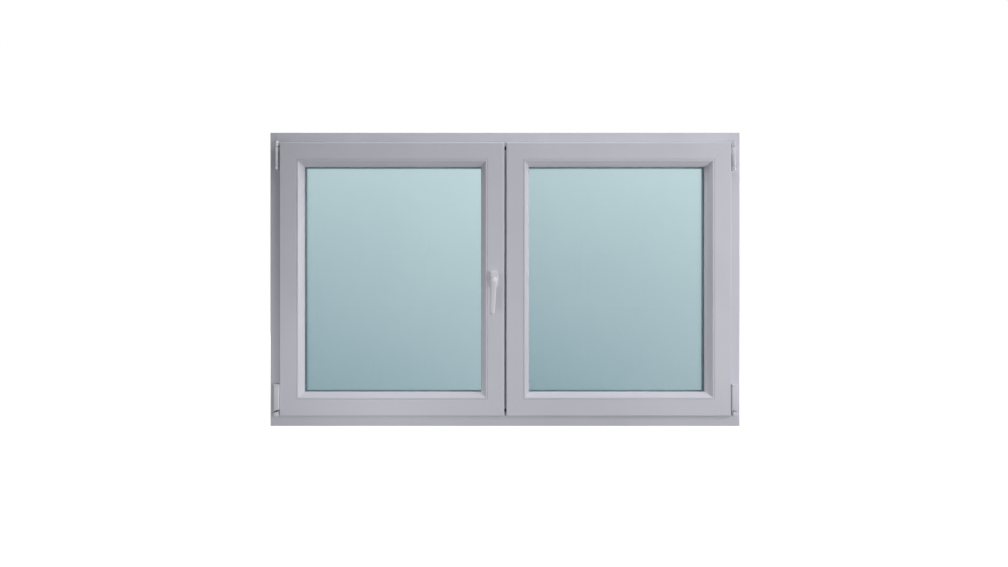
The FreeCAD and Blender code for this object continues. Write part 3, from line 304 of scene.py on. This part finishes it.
# The outer panes' glass carries a painted reflection, lighter toward the top right.
TINTED_GLASS_PAINTED_REFLECTION = tinted_glass_painted_reflection()
SLOT_MATERIALS = {"white_pvc": PVC_ACROSS, "galvanised_steel": GALVANISED, "grey_seal": SEAL,
                  "glazing_seal": GLAZING_SEAL, "glass": CLEAR_GLASS, "spacer_bar": SPACER,
                  "block_plastic": POLYAMIDE, "plated_steel": ZINC, "white_hinge_metal": COATED,
                  "white_cap_plastic": CAP, "white_handle_metal": COATED}
for entry in frame["record"]["subparts"]:
    node = entry["node"]
    upright = entry["material_slot"] == "white_pvc" and any(
        word in node for word in ("jamb", "stile", "mullion"))
    mesh = nodes[node].data
    mesh.materials.clear()
    mesh.materials.append(PVC_UPRIGHT if upright else SLOT_MATERIALS[entry["material_slot"]])

# ---------------------------------------------------------------- mesh helpers


def piece(name, body, work, material, stands_for=(), smooth=40):
    """Make an object from finished mesh work, shade it, and tie it to its body and finish."""
    bmesh.ops.recalc_face_normals(work, faces=work.faces)
    mesh = bpy.data.meshes.new(name)
    work.to_mesh(mesh)
    work.free()
    mesh.shade_smooth()
    mesh.set_sharp_from_angle(angle=math.radians(smooth))
    thing = bpy.data.objects.new(name, mesh)
    scene.collection.objects.link(thing)
    mesh.materials.append(material)
    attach(thing, body)
    if stands_for:
        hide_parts(*stands_for)
    return thing


def loft(work, sections, closed=False):
    """Skin a list of outlines with the same number of points; the ends are capped."""
    rings = [[work.verts.new(point) for point in section] for section in sections]
    pairs = list(zip(rings, rings[1:] + rings[:1])) if closed else list(zip(rings, rings[1:]))
    for one, two in pairs:
        for index in range(len(one)):
            after = (index + 1) % len(one)
            work.faces.new((one[index], one[after], two[after], two[index]))
    if not closed:
        work.faces.new(list(reversed(rings[0])))
        work.faces.new(rings[-1])


def rounded(corners, steps=5):
    """Turn a closed outline of (a, b, radius) corners into points, each corner a soft curve."""
    made = []
    for index, (first, second, radius) in enumerate(corners):
        corner = Vector((first, second))
        back = Vector(corners[index - 1][:2]) - corner
        ahead = Vector(corners[(index + 1) % len(corners)][:2]) - corner
        if radius == 0:
            made.append(corner)
            continue
        reach = min(radius / math.tan(back.angle(ahead) / 2), 0.49 * back.length, 0.49 * ahead.length)
        start = corner + back.normalized() * reach
        end = corner + ahead.normalized() * reach
        for step in range(steps + 1):
            share = step / steps
            made.append(start.lerp(corner, share).lerp(corner.lerp(end, share), share))
    return made


def corner_sections(outline, low, high):
    """One outline of (depth, inset) points at each corner of a leaf or frame, cut at 45 degrees."""
    sections = []
    for end_x, end_z in ((low, low), (high, low), (high, high), (low, high)):
        sign_x = 1 if end_x is low else -1
        sign_z = 1 if end_z is low else -1
        sections.append([Vector((end_x.x + sign_x * inset, depth, end_z.z + sign_z * inset))
                         for depth, inset in outline])
    return sections


def mitred_bars(work, outline, low, high, sides, gap):
    """Straight bars of one outline along the named sides, each cut at 45 degrees to its corners."""
    corners = corner_sections(outline, low, high)
    for side in sides:
        first = ("bottom", "right", "top", "left").index(side)
        start, end = corners[first], corners[(first + 1) % 4]
        shift = (end[0] - start[0]).normalized() * gap
        loft(work, [[point + shift for point in start], [point - shift for point in end]])


def lathe(work, centre, profile, steps=40, axis="Z"):
    """Turn a list of (radius, distance along the axis) points round an upright or a depth axis."""
    sections = []
    for radius, height in profile:
        section = []
        for step in range(steps):
            angle = 2 * math.pi * step / steps
            across, other = radius * math.cos(angle), radius * math.sin(angle)
            offset = (across, other, height) if axis == "Z" else (across, height, other)
            section.append(Vector(centre) + Vector(offset))
        sections.append(section)
    loft(work, sections)


def domed(radius, low, high, round_low, round_high, steps=5):
    """The profile of a turned pin: straight sides, and quarter-round ends."""
    profile = []
    for step in range(steps + 1):
        angle = math.pi / 2 * step / steps
        profile.append((radius - round_low * (1 - math.sin(angle)),
                        low + round_low * (1 - math.cos(angle))))
    for step in range(steps + 1):
        angle = math.pi / 2 * step / steps
        profile.append((radius - round_high * (1 - math.cos(angle)),
                        high - round_high * (1 - math.sin(angle))))
    return profile


# ---------------------------------------------------------------- glazing beads and seals

FACE_WIDTH = 57 * MM
SASH_SECTION = 77 * MM
BEAD_LAND = 5.5 * MM
BEAD_JOINT = 0.5 * MM
BEAD_SUNK = 0.2 * MM
MITRE_GAP = 0.08 * MM
SEAL_SPACE = 3 * MM
SEAL_GRIP = 6.8 * MM
ARRIS = 0.5 * MM
# The seal lies on the glass with a film of air between.
AIR_FILM = 0.05 * MM
LEAVES = {"active": "active_sash", "passive": "passive_sash"}


def leaf_box(leaf):
    """The lowest and highest corners of a leaf's flange."""
    rail_low, rail_high = span(f"{leaf}_rail_bottom")
    return rail_low, Vector((rail_high.x, rail_high.y, span(f"{leaf}_rail_top")[1].z))


def bead_outline(front, glass):
    """The bead's visible side: a narrow flat land, then a long slope with a fine step to the lip."""
    face, back = front + BEAD_SUNK, glass - SEAL_SPACE
    start, land = FACE_WIDTH + BEAD_JOINT, FACE_WIDTH + BEAD_LAND
    return rounded([
        (face, start, 0.9 * MM), (face, land, 1.6 * MM), (front + 9 * MM, land + 8.2 * MM, 9 * MM),
        (back - 4.5 * MM, SASH_SECTION - 0.4 * MM, 1.2 * MM),
        (back, SASH_SECTION - 0.2 * MM, 0.4 * MM), (back, start, 0)])


def lip_outline(hold, touch):
    """A glazing seal's section: a foot gripped under the bead, and a soft lip on the glass."""
    foot = SASH_SECTION - SEAL_GRIP
    shoulder = touch * 0.6 + hold * 0.4
    return rounded([
        (hold, foot, 0), (hold, SASH_SECTION + 0.1 * MM, 0.5 * MM),
        (shoulder, SASH_SECTION + 0.5 * MM, 0.6 * MM),
        (touch, SASH_SECTION + 1.0 * MM, 0.3 * MM), (touch, foot, 0)])


def rectangle(low, high, inset):
    """The four corners of an upright rectangle, drawn in by an inset."""
    return [(low.x + inset, low.z + inset), (high.x - inset, low.z + inset),
            (high.x - inset, high.z - inset), (low.x + inset, high.z - inset)]


for leaf, body in LEAVES.items():
    low, high = leaf_box(leaf)
    front = low.y
    room_glass = span(f"{leaf}_pane_inner")[0].y
    outer_glass = span(f"{leaf}_pane_outer")[1].y
    for kind, sides, pvc in (("rails", ("bottom", "top"), PVC_ACROSS),
                             ("stiles", ("left", "right"), PVC_UPRIGHT)):
        work = bmesh.new()
        mitred_bars(work, bead_outline(front, room_glass), low, high, sides, MITRE_GAP)
        piece(f"{leaf}_glazing_bead_{kind}", body, work, pvc, [f"{leaf}_bead_{kind}"])
    work = bmesh.new()
    for hold, touch in ((room_glass - SEAL_SPACE, room_glass - AIR_FILM),
                        (outer_glass + SEAL_SPACE, outer_glass + AIR_FILM)):
        loft(work, corner_sections(lip_outline(hold, touch), low, high), closed=True)
    piece(f"{leaf}_glazing_seals", body, work, GLAZING_SEAL, [f"{leaf}_glazing_gasket"])
    for place, glass in (("inner", CLEAR_GLASS), ("outer", TINTED_GLASS_PAINTED_REFLECTION)):
        pane = f"{leaf}_pane_{place}"
        pane_low, pane_high = span(pane)
        work = bmesh.new()
        loft(work, [[Vector((x, depth, z)) for x, z in rectangle(pane_low, pane_high, inset)]
                    for depth, inset in ((pane_low.y, ARRIS), (pane_low.y + ARRIS, 0),
                                         (pane_high.y - ARRIS, 0), (pane_high.y, ARRIS))])
        sheet = piece(f"{leaf}_{place}_glass", body, work, glass, [pane], 20)
        sheet.visible_shadow = False

# The frame's seal is 5 mm wide: a thin foot on the upstand, and a bulb for the leaf to press on.
seal_low, seal_high = span("frame_seal")
foot, crown = seal_high.y, seal_low.y
bulb = rounded([(foot, 0, 0), (foot - 0.8 * MM, 0, 0.2 * MM), (foot - 1.0 * MM, 0.9 * MM, 0.3 * MM),
                (crown, 1.4 * MM, 1.2 * MM), (crown, 4.4 * MM, 1.2 * MM),
                (foot - 0.9 * MM, 4.9 * MM, 0.4 * MM), (foot, 5 * MM, 0)])
work = bmesh.new()
loft(work, corner_sections(bulb, seal_low, seal_high), closed=True)
piece("frame_bulb_seal", "frame", work, SEAL, ["frame_seal"])

# ---------------------------------------------------------------- welded corners

WELD_WIDTH = 1.0 * MM
WELD_PROUD = 0.03 * MM
# Each weld line runs between two insets from the outer corner.
FRAME_WELD_ROOM = (2 * MM, 45 * MM)
FRAME_WELD_BACK = (2 * MM, 65 * MM)
LEAF_WELD_ROOM = (3.2 * MM, FACE_WIDTH - 1.6 * MM)
LEAF_WELD_BACK = (22 * MM, SASH_SECTION - 10 * MM)


def weld_strip(work, corner, inward_x, inward_z, depth, towards, first, last):
    """A low crowned ridge across one face of a corner, from one inset to another."""
    across = Vector((inward_x, 0, -inward_z)).normalized() * WELD_WIDTH / 2
    sections = []
    for inset in (first, last):
        middle = Vector((corner[0] + inward_x * inset, depth, corner[1] + inward_z * inset))
        proud = Vector((0, towards * WELD_PROUD, 0))
        sunk = -3 * proud
        sections.append([middle - across + sunk, middle - across * 0.9, middle + proud,
                         middle + across * 0.9, middle + across + sunk])
    loft(work, sections)


def corners_of(low, high):
    """The four corners of a frame or leaf, each with the two signs that point into it."""
    return [((low.x, low.z), 1, 1), ((high.x, low.z), -1, 1), ((high.x, high.z), -1, -1),
            ((low.x, high.z), 1, -1)]


sash_back = span("active_rail_bottom")[1].y
frame_low = Vector((cad_box[0][0], 0, 0))
frame_high = Vector(cad_box[1])
jamb_low, jamb_high = span("frame_jamb_left")
work = bmesh.new()
for corner, inward_x, inward_z in corners_of(frame_low, frame_high):
    weld_strip(work, corner, inward_x, inward_z, jamb_low.y, -1, *FRAME_WELD_ROOM)
    weld_strip(work, corner, inward_x, inward_z, jamb_high.y, 1, *FRAME_WELD_BACK)
piece("frame_corner_welds", "frame", work, WELD)
for leaf, body in LEAVES.items():
    low, high = leaf_box(leaf)
    work = bmesh.new()
    for corner, inward_x, inward_z in corners_of(low, high):
        weld_strip(work, corner, inward_x, inward_z, low.y, -1, *LEAF_WELD_ROOM)
        weld_strip(work, corner, inward_x, inward_z, sash_back, 1, *LEAF_WELD_BACK)
    piece(f"{leaf}_corner_welds", body, work, WELD)

# ---------------------------------------------------------------- handle

rosette_low, rosette_high = span("handle_rosette")
lever_low = span("handle_lever")[0]
spindle_low, spindle_high = span("handle_spindle")
spindle = (spindle_low + spindle_high) / 2
ROSE_CORNER = 8 * MM
ROSE_EDGE = 3.5 * MM
ROSE_CROWN = 0.5 * MM
COLLAR_RADIUS = 10.6 * MM
# The collar and the neck start this far inside the rose.
SET_IN = 1 * MM


def plate_outline(centre, half_wide, half_tall, radius, depth):
    """A rounded rectangle that faces the room."""
    flat = rounded([(-half_wide, -half_tall, radius), (half_wide, -half_tall, radius),
                    (half_wide, half_tall, radius), (-half_wide, half_tall, radius)], 8)
    return [Vector((centre.x + point.x, depth, centre.z + point.y)) for point in flat]


half_wide = (rosette_high.x - rosette_low.x) / 2
half_tall = (rosette_high.z - rosette_low.z) / 2
rosette_middle = (rosette_low + rosette_high) / 2
plate_back, plate_front = rosette_high.y, rosette_low.y
sections = [plate_outline(rosette_middle, half_wide, half_tall, ROSE_CORNER, plate_back)]
for step in range(7):
    angle = math.pi / 2 * step / 6
    inset = ROSE_EDGE * (1 - math.cos(angle))
    sections.append(plate_outline(rosette_middle, half_wide - inset, half_tall - inset,
                                  ROSE_CORNER - inset, plate_front + ROSE_EDGE * (1 - math.sin(angle))))
sections.append(plate_outline(rosette_middle, half_wide * 0.6, half_tall * 0.8, 3 * MM,
                              plate_front - ROSE_CROWN))
work = bmesh.new()
loft(work, sections)
piece("handle_rose_cover", "active_sash", work, COATED, ["handle_rosette"])

work = bmesh.new()
lathe(work, (spindle.x, 0, spindle.z), [
    (COLLAR_RADIUS, plate_front + SET_IN), (COLLAR_RADIUS, plate_front - 1.2 * MM),
    (10.2 * MM, plate_front - 1.9 * MM), (9.4 * MM, plate_front - 2.3 * MM),
    (8.2 * MM, plate_front - 2.3 * MM)], axis="Y")
piece("handle_collar", "active_sash", work, COATED)

GRIP_DRIFT = 8.5 * MM
GRIP_LENGTH = spindle.z - lever_low.z
NECK_RADIUS = 8.2 * MM
BEND = 13 * MM
# Half the grip's width and thickness at its root, and how much of each is lost by its tip.
GRIP_WIDE, GRIP_NARROWING = 11.2 * MM, 2.9 * MM
GRIP_THICK, GRIP_THINNING = 6.4 * MM, 0.9 * MM
TIP_ROUND = 5 * MM
grip_line = lever_low.y + 6.2 * MM


def lever_sections():
    """Follow the lever from its neck, round the bend and down the grip to its rounded tip."""
    stations = []
    neck_end = grip_line + BEND
    start = plate_front + SET_IN
    for step in range(5):
        stations.append((start + (neck_end - start) * step / 4, 0.0, 0.0))
    for step in range(1, 10):
        angle = math.pi / 2 * step / 9
        stations.append((neck_end - BEND * math.sin(angle), BEND * (1 - math.cos(angle)), angle))
    straight = GRIP_LENGTH - BEND
    for step in range(1, 25):
        stations.append((grip_line, BEND + straight * step / 24, math.pi / 2))
    sections = []
    for depth, drop, turn in stations:
        share = turn / (math.pi / 2)
        fall = max(0.0, drop - BEND) / straight
        wide = NECK_RADIUS * (1 - share) + (GRIP_WIDE - GRIP_NARROWING * fall) * share
        thick = NECK_RADIUS * (1 - share) + (GRIP_THICK - GRIP_THINNING * fall) * share
        left = GRIP_LENGTH - drop
        if left < TIP_ROUND:
            close = math.sqrt(max(0.0, 1 - (1 - left / TIP_ROUND) ** 2))
            wide *= 0.35 + 0.65 * close
            thick *= 0.3 + 0.7 * close
        # The neck is round, and the grip a little squarer.
        power = 2.0 + 0.5 * share
        across = Vector((1, 0, 0))
        outward = Vector((0, -math.sin(turn), math.cos(turn)))
        middle = Vector((spindle.x - GRIP_DRIFT * math.sqrt(drop / GRIP_LENGTH), depth, spindle.z - drop))
        section = []
        for step in range(36):
            angle = 2 * math.pi * step / 36
            cosine, sine = math.cos(angle), math.sin(angle)
            section.append(middle
                           + across * wide * math.copysign(abs(cosine) ** (2 / power), cosine)
                           + outward * thick * math.copysign(abs(sine) ** (2 / power), sine))
        sections.append(section)
    return sections


work = bmesh.new()
loft(work, lever_sections())
piece("handle_lever_casting", "handle", work, COATED, ["handle_lever"], 60)

# ---------------------------------------------------------------- upper hinges

bearing_low, bearing_high = span("stay_bearings")
stay_top = span("stay_arm")[1].z
BARREL = 5.5 * MM
SKIRT_DROP, SKIRT_HEIGHT, SKIRT_RADIUS = 4 * MM, 9 * MM, 6.1 * MM
EYE_RADIUS, EYE_GAP, EYE_CROWN = 6.3 * MM, 0.4 * MM, 0.6 * MM
axis_x = bearing_high.x - BARREL
axis_y = bearing_low.y + BARREL
room_face = bearing_high.y


def dee(centre_x, height, radius, steps=20):
    """An upright barrel's section: round to the room, with flat cheeks back to the frame."""
    section = []
    for step in range(steps + 1):
        angle = math.pi * step / steps
        section.append(Vector((centre_x + radius * math.cos(angle), axis_y - radius * math.sin(angle),
                               height)))
    section.append(Vector((centre_x - radius, room_face, height)))
    section.append(Vector((centre_x + radius, room_face, height)))
    return section


work = bmesh.new()
for sign in (-1, 1):
    foot = bearing_low.z - SKIRT_DROP
    collar = foot + SKIRT_HEIGHT
    heights = [(foot, 4.4 * MM), (foot + 0.5 * MM, 5.4 * MM),
               (foot + 1.6 * MM, SKIRT_RADIUS), (collar - 1 * MM, SKIRT_RADIUS),
               (collar - 0.3 * MM, 5.7 * MM), (collar, 5.2 * MM), (collar + 0.5 * MM, 5.2 * MM),
               (collar + 0.9 * MM, BARREL), (bearing_high.z - 0.6 * MM, BARREL),
               (bearing_high.z - 0.1 * MM, BARREL - 0.5 * MM)]
    loft(work, [dee(sign * axis_x, height, radius) for height, radius in heights])
piece("stay_bearing_castings", "frame", work, COATED, ["stay_bearings"], 50)

for name, body, sign in (("stay_arm_eye_cap", "stay_arm", -1), ("top_band_eye_cap", "passive_sash", 1)):
    work = bmesh.new()
    lathe(work, (sign * axis_x, axis_y, 0),
          domed(EYE_RADIUS, bearing_high.z + EYE_GAP, stay_top + EYE_CROWN, 0.5 * MM, 3.2 * MM))
    piece(name, body, work, COATED)

# ---------------------------------------------------------------- lower hinges

HINGE_SLOPE = 3.8 * MM
SHOULDER_ROUND, RIDGE_ROUND = 5 * MM, 2.4 * MM


def cover_section(low, high, sign, height, inset, slope):
    """The lower hinge's section: a soft shoulder by the wall, a crisp ridge by the leaf."""
    wall, leaf_side = (low.x, high.x) if sign < 0 else (high.x, low.x)
    into = 1 if leaf_side > wall else -1
    flat = rounded([(wall + into * inset, high.y, 1 * MM),
                    (wall + into * inset, low.y + 4 * MM + inset, SHOULDER_ROUND),
                    (wall + into * (6.5 * MM + inset), low.y + inset, SHOULDER_ROUND),
                    (leaf_side - into * inset, low.y + inset, RIDGE_ROUND),
                    (leaf_side - into * inset, high.y, 1 * MM)])
    span = abs(leaf_side - wall)
    return [Vector((point.x, point.y, height - slope * abs(point.x - leaf_side) / span))
            for point in flat]


def rim(work, low, high, sign, bottom, top, slope_bottom, slope_top, edge):
    """A column whose two rims are rounded by quarter circles."""
    sections = []
    for step in range(5):
        angle = math.pi / 2 * step / 4
        sections.append(cover_section(low, high, sign, bottom + edge * (1 - math.cos(angle)),
                                      edge * (1 - math.sin(angle)), slope_bottom))
    for step in range(5):
        angle = math.pi / 2 * step / 4
        sections.append(cover_section(low, high, sign, top - edge * (1 - math.sin(angle)),
                                      edge * (1 - math.cos(angle)), slope_top))
    loft(work, sections)


COVER_FOOT = 1.2 * MM
CAP_JOINT = 0.3 * MM
CAP_HEIGHT = 5 * MM
CAP_SPAN = 20.5 * MM
for leaf, body in LEAVES.items():
    low, high = span(f"{leaf}_band_cover")
    sign = -1 if low.x < 0 else 1
    work = bmesh.new()
    rim(work, low, high, sign, low.z + COVER_FOOT, high.z - CAP_HEIGHT - CAP_JOINT, HINGE_SLOPE, 0,
        0.7 * MM)
    rim(work, low, high, sign, high.z - CAP_HEIGHT, high.z, 0, 0.6 * MM, 1.2 * MM)
    piece(f"{leaf}_hinge_cover", body, work, CAP, [f"{leaf}_band_cover"], 50)

caps_low, caps_high = span("bearing_caps")
work = bmesh.new()
for sign in (-1, 1):
    wall, leaf_side = caps_high.x * sign, (caps_high.x - CAP_SPAN) * sign
    low = Vector((min(wall, leaf_side), caps_low.y, caps_low.z))
    high = Vector((max(wall, leaf_side), caps_high.y, caps_high.z))
    rim(work, low, high, sign, caps_low.z, caps_high.z, 0, HINGE_SLOPE, 0.8 * MM)
piece("corner_bearing_caps", "frame", work, CAP, ["bearing_caps"], 50)

# ---------------------------------------------------------------- screws in the plates

HEAD_RADIUS = 3.2 * MM
KEEP_LIP = 1 * MM


def screw_head(work, place, normal):
    """A raised countersunk head with a cross recess, sunk in a plate."""
    turn = normal.to_track_quat("Z", "Y").to_matrix()
    sections = []
    for radius, height, cross in ((1.0, -0.4, 0), (1.0, 0.1, 0), (0.86, 0.32, 0), (0.62, 0.45, 0),
                                  (0.5, 0.48, 0.8), (0.42, 0.1, 0.8), (0.28, -0.3, 0.6)):
        section = []
        for step in range(32):
            angle = 2 * math.pi * step / 32
            arm = 1 - cross * (1 - abs(math.cos(2 * angle)) ** 3)
            reach = HEAD_RADIUS * radius * arm
            section.append(place + turn @ Vector((reach * math.cos(angle), reach * math.sin(angle),
                                                  height * MM)))
        sections.append(section)
    loft(work, sections)


def plate_screws(name, body, plate, normal, shares, lip=0.0):
    """Screw heads along a plate, at shares of its longest side, below any lip that stands proud."""
    low, high = span(plate)
    size = high - low
    longest = max(range(3), key=lambda axis: size[axis])
    work = bmesh.new()
    for share in shares:
        place = (low + high) / 2 + Vector(size[axis] / 2 * normal[axis] for axis in range(3))
        place[longest] = low[longest] + share * size[longest]
        screw_head(work, place - normal * lip, normal)
    piece(name, body, work, ZINC, smooth=30)


plate_screws("faceplate_screws", "active_sash", "lock_faceplate", Vector((1, 0, 0)),
             (0.015, 0.22, 0.41, 0.59, 0.78, 0.985))
plate_screws("mullion_keep_screws", "passive_sash", "mullion_keeps", Vector((-1, 0, 0)),
             (0.013, 0.075, 0.925, 0.987), KEEP_LIP)
plate_screws("head_keep_screws", "frame", "head_keep", Vector((0, 0, -1)), (0.12, 0.88), KEEP_LIP)
plate_screws("stay_guide_screws", "active_sash", "stay_guide", Vector((0, 0, 1)), (0.012, 0.988))

# ---------------------------------------------------------------- studio

scene.view_settings.view_transform = "Standard"
world = bpy.data.worlds.new("studio_fill")
scene.world = world
world.use_nodes = True
world.node_tree.nodes["Background"].inputs["Color"].default_value = (1.0, 1.0, 1.03, 1.0)
world.node_tree.nodes["Background"].inputs["Strength"].default_value = 0.165


def stage_mesh(name, build, material):
    mesh = bpy.data.meshes.new(name)
    work = bmesh.new()
    build(work)
    work.to_mesh(mesh)
    work.free()
    thing = bpy.data.objects.new(name, mesh)
    scene.collection.objects.link(thing)
    mesh.materials.append(material)
    thing.visible_diffuse = False
    thing.visible_glossy = False
    return thing


def glowing(name, strength, diffuse):
    """Matt studio cloth or paper that gives off an even light of its own."""
    material, tree = new_material(name)
    finish(tree, Base_Color=[diffuse] * 3 + [1.0], Roughness=0.9, Emission_Color=[1.0, 1.0, 1.0, 1.0],
           Emission_Strength=strength)
    return material


stage_mesh("studio_dome", lambda work: bmesh.ops.create_uvsphere(
    work, u_segments=48, v_segments=24, radius=9.0), glowing("dome_cloth", strength=1.0, diffuse=0.0))
floor = stage_mesh("studio_floor", lambda work: bmesh.ops.create_circle(
    work, cap_ends=True, segments=96, radius=8.0), glowing("pale_floor", strength=0.96, diffuse=0.5))
floor.location.z = cad_box[0].z - 0.5 * MM
floor.visible_transmission = False


def area_light(name, place, target, size, power):
    data = bpy.data.lights.new(name, "AREA")
    data.shape = "DISK"
    data.size = size
    data.energy = power
    light = bpy.data.objects.new(name, data)
    scene.collection.objects.link(light)
    light.visible_camera = False
    light.visible_glossy = False
    light.visible_transmission = False
    light.location = place
    light.rotation_mode = "QUATERNION"
    light.rotation_quaternion = (Vector(target) - Vector(place)).to_track_quat("-Z", "Y")
    return light


area_light("key_softbox", (2.7, -1.25, 0.9), (0, 0, 0.5), size=0.7, power=22).visible_glossy = True
area_light("overhead_softbox", (0.2, -0.38, 2.6), (0, 0, 0.3), size=1.2, power=23.5)
area_light("low_right_fill", (1.2, -1.5, 0.05), (0, 0, 0.1), size=0.7, power=9)
area_light("low_left_fill", (-0.48, -0.8, 0.12), (-0.35, 0, 0.1), size=0.5, power=2.1)
area_light("back_softbox", (-1.6, 2.8, 1.9), (0, 0, 0.5), size=1.8, power=70)

camera_data = bpy.data.cameras.new("camera")
camera_data.lens = 16.45
camera_data.shift_x = 0.031
camera_data.shift_y = 0.0017
camera = bpy.data.objects.new("camera", camera_data)
scene.collection.objects.link(camera)
camera.location = (-0.110, -1.605, 0.480)
camera.rotation_euler = (math.radians(90), 0, 0)
scene.camera = camera
